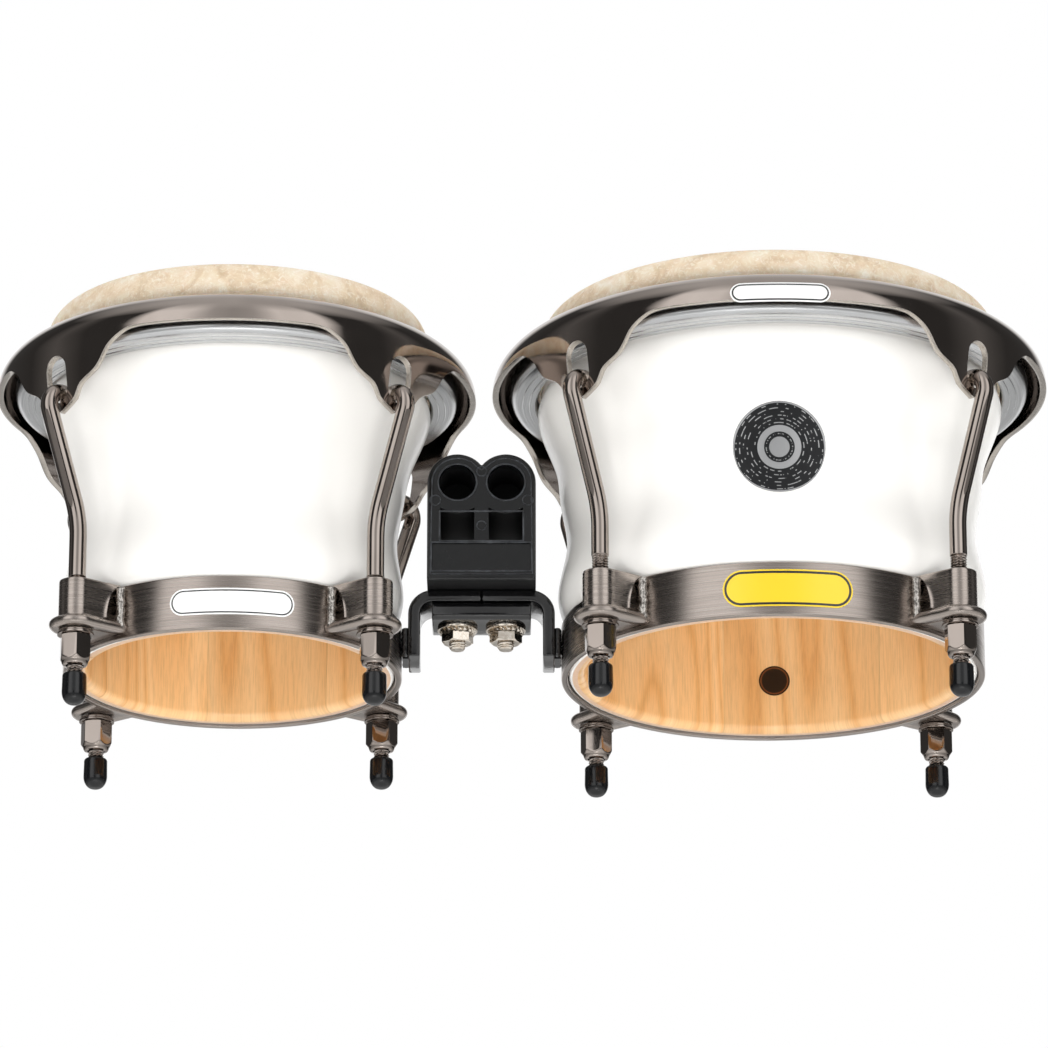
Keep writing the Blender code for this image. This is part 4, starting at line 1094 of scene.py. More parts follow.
class BONGO_OT_hooks(SizedOperator):
    """Tension hooks: bent plated rods with a rolled thread at the foot and above the lug"""

    bl_idname = "bongo.hooks"
    bl_label = "Tension hooks"

    def execute(self, context):
        radius = self.sizes.rod_radius
        pitch = self.sizes.thread_pitch
        depth = self.sizes.thread_depth
        sides = 32
        for drum in DRUMS:
            for number, azimuth_deg in enumerate(HOOK_AZIMUTHS, 1):
                line = hook_line(drum, radius, self.sizes.rim_sheet)
                # the thread runs higher up some of the rods
                thread_top = (66 if drum is HEMBRA else 60.2) * MM
                bm = tube(line, lambda i, point: radius, sides)
                for vert in bm.verts:
                    height = vert.co.z
                    if height > thread_top or abs(math.hypot(vert.co.x, vert.co.y) - radius) > 0.02 * MM:
                        continue
                    azimuth = math.atan2(vert.co.y, vert.co.x)
                    turn = (height / pitch - azimuth / math.tau) % 1.0
                    groove = 1 - abs(2 * turn - 1)
                    fade = min(1.0, (thread_top - height) / (0.6 * MM))
                    grown = radius - (0.25 * MM + depth * groove) * fade
                    vert.co.x *= grown / radius
                    vert.co.y *= grown / radius
                finish_piece(bm, f"{drum.name}_plated_hook_{number}",
                             (shared(gloss_black_nickel, self.colours),), drum.tension_body,
                             (f"{drum.name}_tension_hook_{number}",),
                             hook_place(drum, azimuth_deg), 50)
        return {"FINISHED"}


class BONGO_OT_caps(SizedOperator):
    """Rubber caps pushed over the rods' feet, which the drums stand on"""

    bl_idname = "bongo.caps"
    bl_label = "Rubber caps"

    def execute(self, context):
        radius = 5.6 * MM
        bore = self.sizes.rod_radius + 0.3 * MM
        for drum in DRUMS:
            for number, azimuth_deg in enumerate(HOOK_AZIMUTHS, 1):
                outline = [(0, 0), (1.2 * MM, 0)]
                outline += arc((1.2 * MM, 6 * MM), (radius - 1.2 * MM, 6 * MM), -90, 0, 12)
                outline += [(radius - 0.1 * MM, 11.5 * MM)]
                outline += arc((radius - 1.5 * MM, CAP_TOP_Z - 1.5 * MM), (1.4 * MM, 1.5 * MM), 0, 90, 5)
                outline += [(bore, CAP_TOP_Z), (bore, 2.4 * MM), (0, 2.4 * MM)]
                finish_piece(spin_outline(outline, 48), f"{drum.name}_moulded_cap_{number}",
                             (shared(cap_rubber, self.colours),), drum.tension_body,
                             (f"{drum.name}_rubber_cap_{number}",), hook_place(drum, azimuth_deg))
        return {"FINISHED"}


class BONGO_OT_nuts(SizedOperator):
    """Tuning nuts: chamfered hexagons with a turned neck below"""

    bl_idname = "bongo.nuts"
    bl_label = "Tuning nuts"

    def execute(self, context):
        bore = self.sizes.rod_radius + 0.1 * MM
        flats = self.sizes.nut_flats
        neck = [(4.9 * MM, NUT_BOTTOM_Z), (5.5 * MM, NUT_BOTTOM_Z + 0.25 * MM),
                (5.9 * MM, NUT_BOTTOM_Z + 0.8 * MM), (6.1 * MM, NUT_BOTTOM_Z + 1.6 * MM)]
        for drum in DRUMS:
            for number, azimuth_deg in enumerate(HOOK_AZIMUTHS, 1):
                turn = NUT_TURNS_DEG[number - 1]
                bm = hex_nut(flats, NUT_BOTTOM_Z + 2.0 * MM, NUT_TOP_Z, bore, 1.5, 0.5, turn, neck)
                finish_piece(bm, f"{drum.name}_hexagon_nut_{number}",
                             (shared(gloss_black_nickel, self.colours),),
                             f"{drum.name}_nut_{number}",
                             (f"{drum.name}_tuning_nut_{number}",), hook_place(drum, azimuth_deg), 28)
        return {"FINISHED"}


class BONGO_OT_washers(SizedOperator):
    """Stacked washers between each lug and its nut"""

    bl_idname = "bongo.washers"
    bl_label = "Washers"

    def execute(self, context):
        bore = self.sizes.rod_radius + 0.4 * MM
        low = NUT_TOP_Z + 0.05 * MM
        middle = low + 1.15 * MM
        high = LUG_BOTTOM_Z - 0.05 * MM
        for drum in DRUMS:
            for number, azimuth_deg in enumerate(HOOK_AZIMUTHS, 1):
                wide = self.sizes.washer_radius
                slim = wide - 0.7 * MM
                lower = rounded([(wide, low), (wide, middle), (bore, middle), (bore, low)], 0.3 * MM, 2)
                upper = rounded([(slim, middle), (slim, high), (bore, high), (bore, middle)], 0.4 * MM, 2)
                bm = spin_outline(lower, 56)
                add_island(bm, spin_outline(upper, 56))
                finish_piece(bm, f"{drum.name}_stacked_washers_{number}",
                             (shared(gloss_black_nickel, self.colours),), DRUMS_BODY,
                             (f"{drum.name}_washer_{number}",), hook_place(drum, azimuth_deg))
        return {"FINISHED"}


class BONGO_OT_lugs(SizedOperator):
    """Pressed lugs with a rolled foot, coped to the ring and welded down both legs"""

    bl_idname = "bongo.lugs"
    bl_label = "Lug brackets"

    def execute(self, context):
        for drum in DRUMS:
            for number, azimuth_deg in enumerate(HOOK_AZIMUTHS, 1):
                bm = self.wall(drum)
                add_island(bm, self.floor(drum))
                finish_piece(bm, f"{drum.name}_pressed_lug_{number}",
                             (shared(brushed_black_nickel, self.colours, drum),), DRUMS_BODY,
                             (f"{drum.name}_lug_bracket_{number}",),
                             hook_place(drum, azimuth_deg), 40)
                beads = self.bead(drum, -1, number)
                add_island(beads, self.bead(drum, 1, number))
                finish_piece(beads, f"{drum.name}_weld_beads_{number}", (shared(weld_metal, self.colours),),
                             DRUMS_BODY, (), hook_place(drum, azimuth_deg), 60)
        return {"FINISHED"}

    def path(self, drum, steps=10):
        """Plan of the lug's outer face: (point, outward normal, share along the leg or None)."""
        reach = drum.lug_circle - drum.ring + 0.4 * MM
        radius = 8 * MM
        spread = 10 * MM
        line = []
        normal = Vector((spread - radius, reach)).normalized()
        for step in range(steps):
            t = step / steps
            line.append((Vector((-reach * (1 - t), -(spread + (radius - spread) * t))),
                         Vector((-normal.x, -normal.y)), 1 - t))
        for x, y in arc((0, 0), (radius, radius), -90, 90, 28):
            line.append((Vector((x, y)), Vector((x, y)).normalized(), 0.0))
        for step in range(1, steps + 1):
            t = step / steps
            line.append((Vector((-reach * t, radius + (spread - radius) * t)),
                         Vector((-normal.x, normal.y)), t))
        return line

    def wall(self, drum):
        """The U-shaped wall with its rolled lip, as one section carried along the plan."""
        sheet = 2.8 * MM
        bottom = LUG_BOTTOM_Z
        top = LUG_TOP_Z
        section = [(-sheet, bottom + 1.0 * MM), (-sheet, top - 0.7 * MM), (-sheet + 0.7 * MM, top),
                   (-0.8 * MM, top), (-0.2 * MM, top - 0.25 * MM), (0.0, top - 0.9 * MM)]
        section += [(0.0, bottom + 6.4 * MM + (top - bottom - 7.6 * MM) * t / 8) for t in range(8, -1, -1)]
        section += arc((1.5 * MM, bottom + 6.4 * MM), (1.5 * MM, 1.5 * MM), 180, 260, 4)[1:]
        section += arc((1.6 * MM, bottom + 2.6 * MM), (2.5 * MM, 2.4 * MM), 75, -90, 10)
        section += [(-1.2 * MM, bottom + 0.2 * MM)]
        ledge = bottom + 6.2 * MM
        depth = 8 * MM
        levels = []
        for spot, normal, share in self.path(drum):
            level = []
            for growth, height in section:
                off = (height - ledge) / (top - 0.9 * MM - ledge)
                cope = depth * math.sqrt(max(0.0, 1 - off * off)) * share ** 2 if off >= 0 else 0.0
                place = spot + normal * growth
                level.append((place.x + cope * (1 if share > 0 else 0), place.y, height))
            levels.append(level)
        return loft(levels)

    def floor(self, drum):
        """Flat base of the lug, with the hole for the rod."""
        reach = drum.lug_circle - drum.ring - 0.2 * MM
        outline = [(-reach, -8.2 * MM)] + arc((0, 0), (6 * MM, 6 * MM), -90, 90, 20) + [(-reach, 8.2 * MM)]
        count = len(outline)
        bore = 4.5 * MM
        hole = []
        for x, y in outline:
            angle = math.atan2(y, x)
            hole.append((bore * math.cos(angle), bore * math.sin(angle)))
        low = LUG_BOTTOM_Z + 0.15 * MM
        high = low + 2.8 * MM
        levels = [[(x, y, low) for x, y in outline], [(x, y, high) for x, y in outline],
                  [(x, y, high) for x, y in hole], [(x, y, low) for x, y in hole]]
        levels.append(levels[0])
        assert count == len(hole)
        return loft(levels, capped=False)

    def bead(self, drum, side, number):
        """Lumpy upright weld between a leg and the ring."""
        reach = drum.lug_circle - drum.ring
        levels = []
        steps = 34
        for step in range(steps + 1):
            t = step / steps
            height = 36 * MM + 20.8 * MM * t
            lumps = noise.noise(Vector((number * 3.1, side * 5.0, t * 9)))
            swell = 1 + 0.22 * lumps + 0.35 * (2 * t - 1) ** 8
            swell *= math.sqrt(max(0.02, 1 - (2 * t - 1) ** 14))
            lean = 0.5 * MM * noise.noise(Vector((side * 2.0, number, t * 6)))
            level = []
            for corner in range(18):
                angle = math.tau * corner / 18
                ripple = 1 + 0.10 * noise.noise(Vector((corner * 1.7, t * 22, number)))
                level.append((-reach + 0.9 * MM + 2.0 * MM * swell * ripple * math.cos(angle),
                              side * 11.3 * MM + lean + 2.5 * MM * swell * ripple * math.sin(angle), height))
            levels.append(level)
        return loft(levels)


class BONGO_OT_block(SizedOperator):
    """Moulded centre block with bores, pockets, ejector marks and a blank panel"""

    bl_idname = "bongo.block"
    bl_label = "Centre block"

    def execute(self, context):
        half = BOLT_PITCH_HALF + 13.85 * MM
        notch = math.degrees(math.acos(BOLT_PITCH_HALF / (13.85 * MM)))
        lobe = (13.85 * MM, 13.85 * MM)
        deep = 28 * MM
        outline = [(half, BLOCK_BOTTOM_Z)] + arc((BOLT_PITCH_HALF, BORE_Z), lobe, 0, 180 - notch, 30)
        outline += arc((-BOLT_PITCH_HALF, BORE_Z), lobe, notch, 180, 30)[1:] + [(-half, BLOCK_BOTTOM_Z)]
        bm = loft([[(x, y, z) for x, z in outline] for y in (-deep, deep)])
        bevel_edges(bm, 1.1 * MM, 50, 4)
        place = Matrix.Translation((CENTRE_X, 0, 0))
        block = finish_piece(bm, "moulded_block", (shared(block_nylon, self.colours),), DRUMS_BODY,
                             ("centre_block",), place, 35)
        cutters = []
        for side in (-1, 1):
            x = CENTRE_X + side * BOLT_PITCH_HALF
            for end in (-1, 1):
                span_y = [end * 3 * MM, end * (deep - 0.8 * MM), end * (deep - 0.1 * MM),
                          end * (deep + 1 * MM)]
                radii = (8 * MM, 8 * MM, 8.5 * MM, 8.6 * MM)
                cutters.append(loft([
                    [(x + r * math.cos(math.tau * i / 56), y, BORE_Z + r * math.sin(math.tau * i / 56))
                     for i in range(56)]
                    for y, r in zip(span_y, radii)
                ]))
            wide = 7.75 * MM
            roof = arc((x, BORE_Z), (14.6 * MM, 14.6 * MM), -57, -123, 12)
            pocket = [(x - wide, 91.2 * MM), (x + wide, 91.2 * MM)] + roof
            cutters.append(loft([[(a, y, b) for a, b in pocket] for y in (-deep - 1 * MM, deep + 1 * MM)]))
        panel = rounded([(-22.7 * MM, 76.6 * MM), (22.7 * MM, 76.6 * MM), (22.7 * MM, 89.7 * MM),
                         (-22.7 * MM, 89.7 * MM)], 0.8 * MM)
        levels = []
        for y, shrink in ((-deep - 1 * MM, 1.01), (-deep + 0.8 * MM, 0.985)):
            levels.append([(CENTRE_X + x * shrink, y, 83.1 * MM + (z - 83.1 * MM) * shrink)
                           for x, z in panel])
        cutters.append(loft(levels))
        boolean_cut(block, cutters, 35)
        self.marks(place, deep, outline)
        return {"FINISHED"}

    def marks(self, place, deep, outline):
        """Thin raised rings, ejector circles, and the raised borders of the face and the panel."""
        bm = bmesh.new()
        self.border(bm, outline, deep)
        for side in (-1, 1):
            self.ring(bm, side * BOLT_PITCH_HALF, BORE_Z, 8.9 * MM, 0.45 * MM, deep)
            self.ring(bm, side * 21.3 * MM, 110.5 * MM, 2.4 * MM, 0.34 * MM, deep)
        self.ring(bm, 0, 124.6 * MM, 2.3 * MM, 0.34 * MM, deep)
        self.ring(bm, 0, 98.2 * MM, 2.2 * MM, 0.3 * MM, deep)
        self.frame_line(bm, 7.75 * MM + BOLT_PITCH_HALF + 0.35 * MM, 90.7 * MM, 105.2 * MM, deep)
        self.frame_line(bm, 23.1 * MM, 76.2 * MM, 90.1 * MM, deep)
        # the marks get a paler finish, which is a painted highlight
        finish_piece(bm, "block_mould_marks", (shared(highlight_painted_nylon, self.colours),), DRUMS_BODY,
                     (), place, 60)

    def border(self, bm, outline, deep):
        """A raised line a little way inside the block's outline."""
        thick = 0.34 * MM
        levels = []
        for i, spot in enumerate(outline):
            here = Vector(spot)
            along = Vector(outline[(i + 1) % len(outline)]) - Vector(outline[i - 1])
            inward = Vector((-along.y, along.x)).normalized()
            lower = 0.8 if here.y < BLOCK_BOTTOM_Z + 1 * MM else 0.0
            line = here + inward * 2.2 * MM + Vector((0, lower * MM))
            levels.append([
                (line.x + inward.x * thick * c, -deep + thick * 0.8 * s, line.y + inward.y * thick * c)
                for c, s in ((1, 0), (0.5, 0.85), (-0.5, 0.85), (-1, 0), (-0.5, -0.85), (0.5, -0.85))
            ])
        levels.append(levels[0])
        add_island(bm, loft(levels, capped=False))

    def ring(self, bm, x, z, radius, thick, deep):
        """A thin raised circle on the block's front."""
        outline = [(radius + thick * math.cos(math.tau * i / 8), thick * 0.8 * math.sin(math.tau * i / 8))
                   for i in range(8)]
        turned = spin_outline(outline, 48)
        turn = Matrix.Translation((x, -deep, z)) @ Matrix.Rotation(math.pi / 2, 4, "X")
        add_island(bm, turned, turn)

    def frame_line(self, bm, half, low, high, deep):
        """A thin raised rectangle on the block's front."""
        thick = 0.4 * MM
        levels = []
        for x, z in ((-half, low), (half, low), (half, high), (-half, high), (-half, low)):
            sx = 1 if x > 0 else -1
            sz = 1 if z > (low + high) / 2 else -1
            levels.append([(x + sx * thick * c, -deep + thick * 0.8 * s, z + sz * thick * c)
                           for c, s in ((1, 0), (0, 1), (-1, 0), (0, -1))])
        add_island(bm, loft(levels, capped=False))


class BONGO_OT_arms(SizedOperator):
    """Bent arms from the bottom rings up to the clamp, with their weld pads and beads"""

    bl_idname = "bongo.arms"
    bl_label = "Arms"

    def execute(self, context):
        outside = ARM_GAP_HALF - 3 * MM
        inside = outside - 5.5 * MM
        top = BLOCK_BOTTOM_Z - GAP
        under = PLATE_TOP_Z + GAP
        for name, side in (("macho", -1), ("hembra", 1)):
            outline = [(0.15 * MM, under), (0.15 * MM, top)]
            bend = arc((outside - 11.5 * MM, top - 11.5 * MM), (11.5 * MM, 11.5 * MM), 0, 90, 14)
            outline += list(reversed(bend))
            outline += [(outside, 40 * MM), (inside, 40 * MM)]
            outline += arc((inside - 6 * MM, under - 6 * MM), (6 * MM, 6 * MM), 0, 90, 10)
            bm = loft([[(side * x, y, z) for x, z in outline] for y in (-13.5 * MM, 13.5 * MM)])
            close_mesh(bm)
            bevel_edges(bm, 0.8 * MM, 50, 3)
            pad_x = sorted((side * (outside - 1 * MM), side * (ARM_GAP_HALF - GAP)))
            pad = rounded([(pad_x[0], -7 * MM), (pad_x[1], -7 * MM), (pad_x[1], 7 * MM), (pad_x[0], 7 * MM)],
                          0.6 * MM)
            add_island(bm, loft([[(x, y, z) for x, y in pad] for z in (40.6 * MM, 55 * MM)]))
            place = Matrix.Translation((CENTRE_X, 0, 0))
            finish_piece(bm, f"{name}_painted_arm", (shared(arm_paint, self.colours),), DRUMS_BODY,
                         (f"{name}_arm",), place, 35)
            beads = bmesh.new()
            for end in (-1, 1):
                add_island(beads, self.bead(side, end))
            finish_piece(beads, f"{name}_arm_welds", (shared(arm_paint, self.colours),), DRUMS_BODY,
                         (), place, 60)
        return {"FINISHED"}

    def bead(self, side, end):
        """Painted weld down the side of an arm's pad."""
        levels = []
        steps = 30
        for step in range(steps + 1):
            t = step / steps
            height = 41 * MM + 14 * MM * t
            swell = math.sqrt(max(0.02, 1 - (2 * t - 1) ** 10))
            swell *= 1 + 0.3 * noise.noise(Vector((side * 2.0, end * 3.0, t * 8)))
            level = []
            for corner in range(16):
                angle = math.tau * corner / 16
                ripple = 1 + 0.12 * noise.noise(Vector((corner * 1.3, t * 18, side + end)))
                level.append((side * (ARM_GAP_HALF - 1.9 * MM) + 2.0 * MM * swell * ripple * math.cos(angle),
                              end * 8.4 * MM + 2.3 * MM * swell * ripple * math.sin(angle), height))
            levels.append(level)
        return loft(levels)


class BONGO_OT_clamp(SizedOperator):
    """Clamp plate, bolts, washers and nuts under the block"""

    bl_idname = "bongo.clamp"
    bl_label = "Clamp"

    def execute(self, context):
        place = Matrix.Translation((CENTRE_X, 0, 0))
        half = 14 * MM
        low = PLATE_BOTTOM_Z
        high = PLATE_TOP_Z
        profile = arc((half - 3 * MM, low + 3 * MM), (3 * MM, 3 * MM), -90, 0, 6)
        profile += arc((half - 3 * MM, high - 3 * MM), (3 * MM, 3 * MM), 0, 90, 6)
        profile += [(-y, z) for y, z in reversed(profile)]
        plate = loft([[(x, y, z) for y, z in profile] for x in (-22.8 * MM, 22.8 * MM)])
        close_mesh(plate)
        ends = [e for e in plate.edges if abs(abs(e.verts[0].co.x) - 22.8 * MM) < 0.01 * MM
                and abs(e.verts[0].co.x - e.verts[1].co.x) < 0.01 * MM]
        bmesh.ops.bevel(plate, geom=ends, offset=0.7 * MM, offset_type="OFFSET", segments=3, profile=0.5,
                        affect="EDGES", clamp_overlap=True, material=-1)
        finish_piece(plate, "painted_clamp_plate", (shared(arm_paint, self.colours),), DRUMS_BODY,
                     ("clamp_plate",), place, 40)
        radius = self.sizes.rod_radius
        flats = self.sizes.nut_flats
        nickel = (shared(warm_nickel, self.colours),)
        for label, side in (("left", -1), ("right", 1)):
            spot = Matrix.Translation((CENTRE_X + side * BOLT_PITCH_HALF, 0, 0))
            nut_top = PLATE_BOTTOM_Z - 3.3 * MM
            bm = hex_nut(flats, 50.0 * MM, nut_top, radius, 0.55, 0.3, 15 if side < 0 else 3)
            upper, lower = PLATE_BOTTOM_Z - 0.1 * MM, PLATE_BOTTOM_Z - 1.9 * MM
            flat = rounded([(9.3 * MM, lower), (9.3 * MM, upper), (radius, upper), (radius, lower)],
                           0.4 * MM, 2)
            add_island(bm, spin_outline(flat, 64))
            add_island(bm, self.lock_washer(radius))
            finish_piece(bm, f"plated_clamp_nut_{label}", nickel, DRUMS_BODY,
                         (f"clamp_nut_{label}",), spot, 28)
            finish_piece(self.bolt(radius, flats), f"plated_clamp_bolt_{label}", nickel, DRUMS_BODY,
                         (f"clamp_bolt_{label}",), spot, 35)
        return {"FINISHED"}

    def lock_washer(self, radius):
        """Washer with twisted teeth round its edge, between the flat washer and the nut."""
        low = PLATE_BOTTOM_Z - 3.3 * MM
        high = PLATE_BOTTOM_Z - 1.9 * MM
        levels = []
        for height, shift in ((low, 0.0), ((low + high) / 2, 0.5), (high, 1.0)):
            level = []
            for i in range(96):
                tooth = (i + shift * 4) / 96 * 18 % 1.0
                reach = (8.3 if tooth < 0.6 else 7.2) * MM
                angle = math.tau * i / 96
                level.append((reach * math.cos(angle), reach * math.sin(angle), height))
            levels.append(level)
        for height in (high, low):
            levels.append([(radius * math.cos(math.tau * i / 96),
                            radius * math.sin(math.tau * i / 96), height) for i in range(96)])
        levels.append(levels[0])
        return loft(levels, capped=False)

    def bolt(self, radius, flats):
        """Hexagon head in the block's pocket on a shank whose threaded end shows under the nut."""
        line = []
        height = 46.9 * MM
        while height < 54 * MM:
            line.append((0.0, height))
            height += 0.14 * MM
        line += [(0.0, 60 * MM), (0.0, 92 * MM)]
        foot = line[0][1]

        def radius_at(i, point):
            return min(radius, radius - 1.0 * MM + (point[1] - foot) * 0.8)

        bm = tube(line, radius_at, 32)
        for vert in bm.verts:
            if 47.6 * MM < vert.co.z < 54 * MM and math.hypot(vert.co.x, vert.co.y) > radius * 0.9:
                azimuth = math.atan2(vert.co.y, vert.co.x)
                turn = (vert.co.z / (1.25 * MM) - azimuth / math.tau) % 1.0
                grown = 1 - 0.13 * (1 - abs(2 * turn - 1))
                vert.co.x *= grown
                vert.co.y *= grown
        add_island(bm, hex_nut(flats, 91.5 * MM, 96.8 * MM, radius - 0.2 * MM, 0.2, 0.5))
        return bm


class BONGO_OT_labels(SizedOperator):
    """Round front badge and blank labels, with plain borders and no lettering"""

    bl_idname = "bongo.labels"
    bl_label = "Badge and labels"

    def execute(self, context):
        radius = self.sizes.badge_radius
        film = printed_film
        self.label("printed_badge", HEMBRA, (radius, radius), 112 * MM, -90, lambda z: side_radius(HEMBRA, z),
                   (shared(badge_foil, self.colours, HEMBRA.x, 112 * MM),), 0, 0.35 * MM, "badge_foil",
                   ("front_badge",))
        self.label("yellow_ring_label", HEMBRA, (29.5 * MM, 8.6 * MM), 45.2 * MM, -88.2,
                   lambda z: HEMBRA.ring,
                   (film("yellow_film", self.colours.yellow), film("black_ink", "#101010")), 1.1 * MM)
        self.label("white_ring_label", MACHO, (28.5 * MM, 6.2 * MM), 45.3 * MM, -87.5,
                   lambda z: MACHO.ring,
                   (film("white_film", "#F4F4F2"), film("grey_ink", "#1A1A1C")), 0.7 * MM)
        self.label("white_rim_label", HEMBRA, (22.6 * MM, 4.9 * MM), 174.2 * MM, -90,
                   lambda z: rim_front_radius(HEMBRA, z),
                   (film("white_rim_film", "#F1F1EF"), film("dark_rim_ink", "#17181A")), 0.8 * MM,
                   body=HEMBRA.tension_body)
        self.label("round_inner_label", HEMBRA, (7.4 * MM, 7.4 * MM), 59 * MM, 87,
                   lambda z: inner_radius(HEMBRA, self.sizes.shell_wall, z),
                   (film("black_film", "#17120E"), film("brown_ink", "#6B3C1E")), 0.6 * MM, side=-1)
        return {"FINISHED"}

    def capsule(self, half, high):
        """A long oval with round ends, or a circle."""
        flat = half - high
        right = arc((flat, 0), (high, high), -90, 90, 24)
        left = arc((-flat, 0), (high, high), 90, 270, 24)
        return right + (left if flat > 0.001 * MM else left[1:-1])

    def label(self, name, drum, halves, centre_z, azimuth_deg, radius_of, finishes, line=0.0,
              thick=0.18 * MM, slot="brushed_black_nickel", replaced=(), body=DRUMS_BODY, side=1):
        """A thin blank film laid on a drum's side, with a printed line inside its edge."""
        half, high = halves
        bm = bmesh.new()
        verts = [bm.verts.new((a, b, 0.03 * MM)) for a, b in self.capsule(half, high)]
        inner = bmesh.ops.contextual_create(bm, geom=verts)["faces"]
        if line:
            bmesh.ops.inset_region(bm, faces=inner, thickness=0.7 * MM, use_boundary=True,
                                   use_even_offset=True)
            printed = bmesh.ops.inset_region(bm, faces=inner, thickness=line, use_boundary=True,
                                             use_even_offset=True)
            for face in printed["faces"]:
                face.material_index = 1
        raised = bmesh.ops.extrude_face_region(bm, geom=bm.faces[:])["geom"]
        bmesh.ops.translate(bm, vec=(0, 0, thick - 0.03 * MM),
                            verts=[v for v in raised if isinstance(v, bmesh.types.BMVert)])
        for direction, reach in ((Vector((1, 0, 0)), half), (Vector((0, 1, 0)), high)):
            for step in range(-11, 12):
                bmesh.ops.bisect_plane(bm, geom=bm.verts[:] + bm.edges[:] + bm.faces[:], dist=0.001 * MM,
                                       plane_co=direction * reach * step / 12, plane_no=direction)
        for vert in bm.verts:
            across, up, stand = vert.co
            azimuth = math.radians(azimuth_deg) + across / radius_of(centre_z) * side
            radius = radius_of(centre_z + up) + stand * side
            vert.co = (radius * math.cos(azimuth), radius * math.sin(azimuth), centre_z + up)
        finish_piece(bm, name, finishes, body, replaced, drum_place(drum), 60)


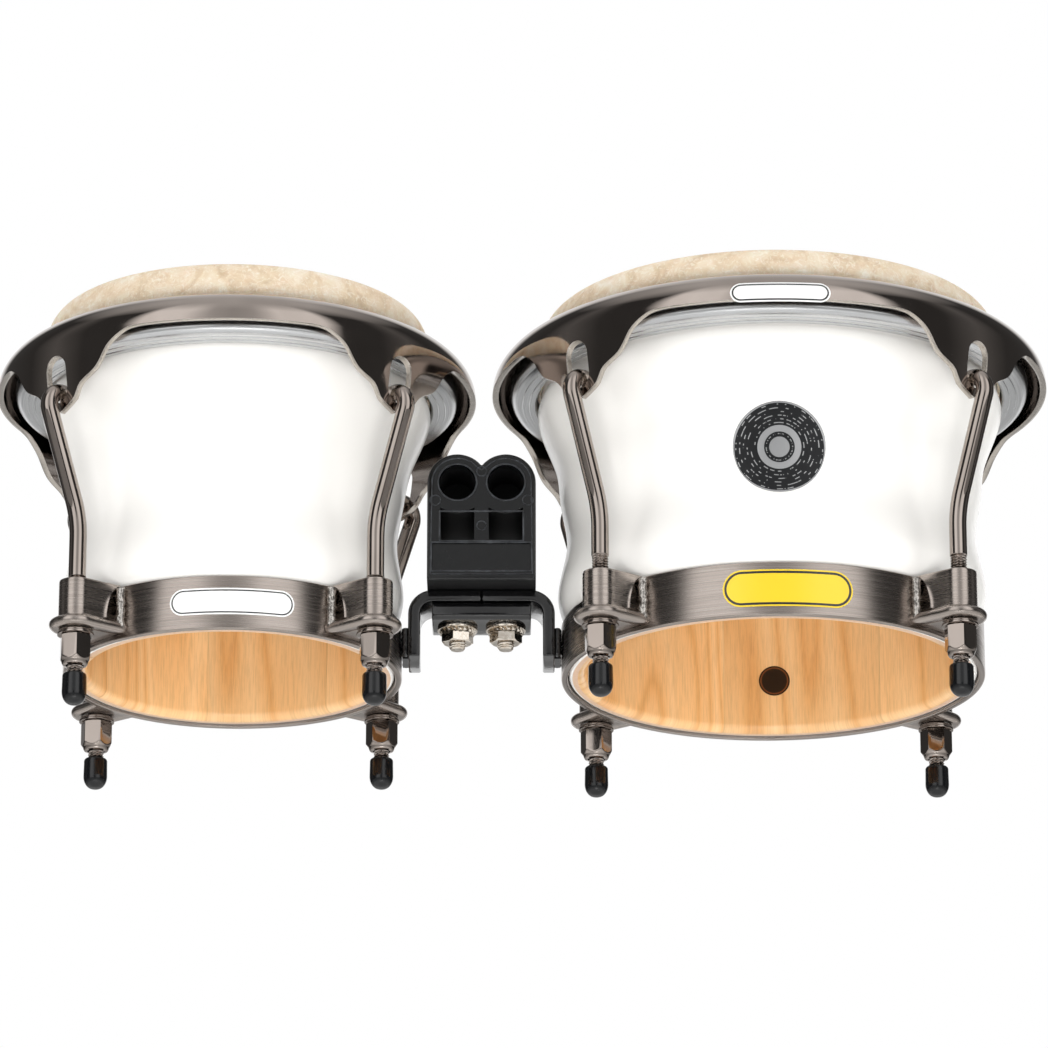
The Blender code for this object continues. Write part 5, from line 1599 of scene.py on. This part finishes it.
class BONGO_OT_stage(SizedOperator):
    """Pale studio floor, soft lights and the camera"""

    bl_idname = "bongo.stage"
    bl_label = "Stage"

    def execute(self, context):
        scene = bpy.context.scene
        scene.view_settings.view_transform = "Standard"
        bm = bmesh.new()
        bmesh.ops.create_grid(bm, x_segments=1, y_segments=1, size=6.0)
        bmesh.ops.translate(bm, vec=(0, 0, -1.15), verts=bm.verts)
        mesh = bpy.data.meshes.new("studio_floor")
        bm.to_mesh(mesh)
        bm.free()
        floor = bpy.data.objects.new("studio_floor", mesh)
        finish = new_material("matt_floor_paint", self.colours.floor, 0.8)[0]
        mesh.materials.append(finish)
        scene.collection.objects.link(floor)
        self.world(scene)
        look = Vector((0.95 * MM, 0, 108.5 * MM))
        self.light("front_left_softbox", (-1.5, -2.3, 0.5), look, (1.6, 1.6), 8)
        self.light("front_right_softbox", (1.6, -2.3, 0.5), look, (1.6, 1.6), 8)
        self.light("left_fill", (-2.4, -0.5, 0.3), look, (1.4, 1.6), 17)
        self.light("right_fill", (2.4, -0.5, 0.3), look, (1.4, 1.6), 17)
        self.light("back_left_fill", (-1.6, 1.9, 0.1), look, (1.6, 1.6), 18)
        self.light("back_right_fill", (1.6, 1.9, 0.1), look, (1.6, 1.6), 18)
        self.light("low_front_softbox", (0, -1.9, -0.95), look, (1.2, 0.7), 37)
        self.light("top_softbox", (0, 0.2, 2.0), look, (2.0, 1.4), 26)
        data = bpy.data.cameras.new("studio_camera")
        data.sensor_width = 36
        data.lens = 196.8
        data.clip_start = 0.05
        camera = bpy.data.objects.new("studio_camera", data)
        elevation = math.radians(-18.9)
        away = Vector((0, -math.cos(elevation), math.sin(elevation))) * 2.663
        camera.location = look + away
        camera.rotation_euler = (-away).to_track_quat("-Z", "Y").to_euler()
        scene.collection.objects.link(camera)
        scene.camera = camera
        return {"FINISHED"}

    def light(self, name, place, target, size, power):
        """A rectangular softbox aimed at the drums."""
        data = bpy.data.lights.new(name, "AREA")
        data.shape = "RECTANGLE"
        data.size, data.size_y = size
        data.energy = power
        lamp = bpy.data.objects.new(name, data)
        lamp.location = place
        lamp.rotation_euler = (target - Vector(place)).to_track_quat("-Z", "Y").to_euler()
        lamp.visible_glossy = False
        bpy.context.scene.collection.objects.link(lamp)

    def world(self, scene):
        """White to the eye and even for soft light; polished metal sees softboxes and dark flags."""
        world = bpy.data.worlds.new("studio")
        world.use_nodes = True
        tree = world.node_tree
        shade = tree.nodes["Background"]
        out = tree.nodes["World Output"]
        way = node(tree, "ShaderNodeTexCoord").outputs["Generated"]
        split = node(tree, "ShaderNodeSeparateXYZ", {0: way})
        ahead = node(tree, "ShaderNodeMath", {0: split.outputs[1], 1: -1.0}, operation="MULTIPLY")
        turn = node(tree, "ShaderNodeMath", {0: split.outputs[0], 1: ahead.outputs[0]}, operation="ARCTAN2")
        turn = node(tree, "ShaderNodeMath", {0: turn.outputs[0]}, operation="ABSOLUTE")
        share = span(tree, turn.outputs[0], 0.0, 1.0, 0.0, math.pi)
        # two big softboxes with a slit between them, dark flags at the sides and a white backdrop
        sides = ((0.25, 1.0), (0.30, 0.04), (0.42, 0.04), (0.52, 0.12), (0.62, 0.04),
                 (0.80, 0.05), (0.88, 0.70))
        slit = ramp(tree, share, ((0.0, 0.02), (0.035, 0.03), (0.05, 0.60), (0.09, 0.90), *sides))
        soft = ramp(tree, share, ((0.0, 0.42), (0.06, 0.50), (0.13, 1.0), *sides))
        raised = span(tree, split.outputs[2], 0.0, 1.0, -0.05, 0.12)
        round_it = node(tree, "ShaderNodeMix", {0: raised, 2: slit, 3: soft})
        top = span(tree, split.outputs[2], 0.0, 1.0, 0.75, 0.97)
        low = span(tree, split.outputs[2], 1.0, 0.0, -0.85, -0.45)
        level = node(tree, "ShaderNodeMix", {0: top, 2: round_it.outputs[0], 3: 0.55})
        level = node(tree, "ShaderNodeMix", {0: low, 2: level.outputs[0], 3: 0.20})
        mirrored = node(tree, "ShaderNodeMath", {0: level.outputs[0], 1: 1.45}, operation="MULTIPLY")
        path = node(tree, "ShaderNodeLightPath")
        level = node(tree, "ShaderNodeMix", {
            0: path.outputs["Is Glossy Ray"], 2: 0.34, 3: mirrored.outputs[0],
        })
        tree.links.new(level.outputs[0], shade.inputs["Strength"])
        shade.inputs["Color"].default_value = (1, 1, 1, 1)
        plain = node(tree, "ShaderNodeBackground", {"Color": (1, 1, 1, 1), "Strength": 1.0})
        mix = node(tree, "ShaderNodeMixShader", {
            0: path.outputs["Is Camera Ray"], 1: shade.outputs[0], 2: plain.outputs[0],
        })
        tree.links.new(mix.outputs[0], out.inputs["Surface"])
        scene.world = world


class BONGO_PT_panel(bpy.types.Panel):
    """Lists the finished pieces"""

    bl_idname = "BONGO_PT_panel"
    bl_label = "Bongo drums"
    bl_space_type = "VIEW_3D"
    bl_region_type = "UI"
    bl_category = "Bongo drums"

    def draw(self, context):
        for operator in OPERATORS:
            self.layout.operator(operator.bl_idname)
        for group in (context.scene.bongo_sizes, context.scene.bongo_colours):
            for name in group.__annotations__:
                self.layout.prop(group, name)


OPERATORS = (
    BONGO_OT_shells, BONGO_OT_heads, BONGO_OT_flesh_hoops, BONGO_OT_rims, BONGO_OT_bottom_rings,
    BONGO_OT_hooks, BONGO_OT_caps, BONGO_OT_nuts, BONGO_OT_washers, BONGO_OT_lugs, BONGO_OT_block,
    BONGO_OT_arms, BONGO_OT_clamp, BONGO_OT_labels, BONGO_OT_stage,
)
CLASSES = (BongoSizes, BongoColours, *OPERATORS, BONGO_PT_panel)


def register():
    """Register the classes and hang the properties on the scene."""
    for kind in CLASSES:
        bpy.utils.register_class(kind)
    bpy.types.Scene.bongo_sizes = bpy.props.PointerProperty(type=BongoSizes)
    bpy.types.Scene.bongo_colours = bpy.props.PointerProperty(type=BongoColours)


def unregister():
    """Undo register."""
    del bpy.types.Scene.bongo_colours
    del bpy.types.Scene.bongo_sizes
    for kind in reversed(CLASSES):
        bpy.utils.unregister_class(kind)


def main():
    """Build every piece and the stage."""
    register()
    for operator in OPERATORS:
        group, name = operator.bl_idname.split(".")
        getattr(getattr(bpy.ops, group), name)()


if __name__ == "__main__":
    main()
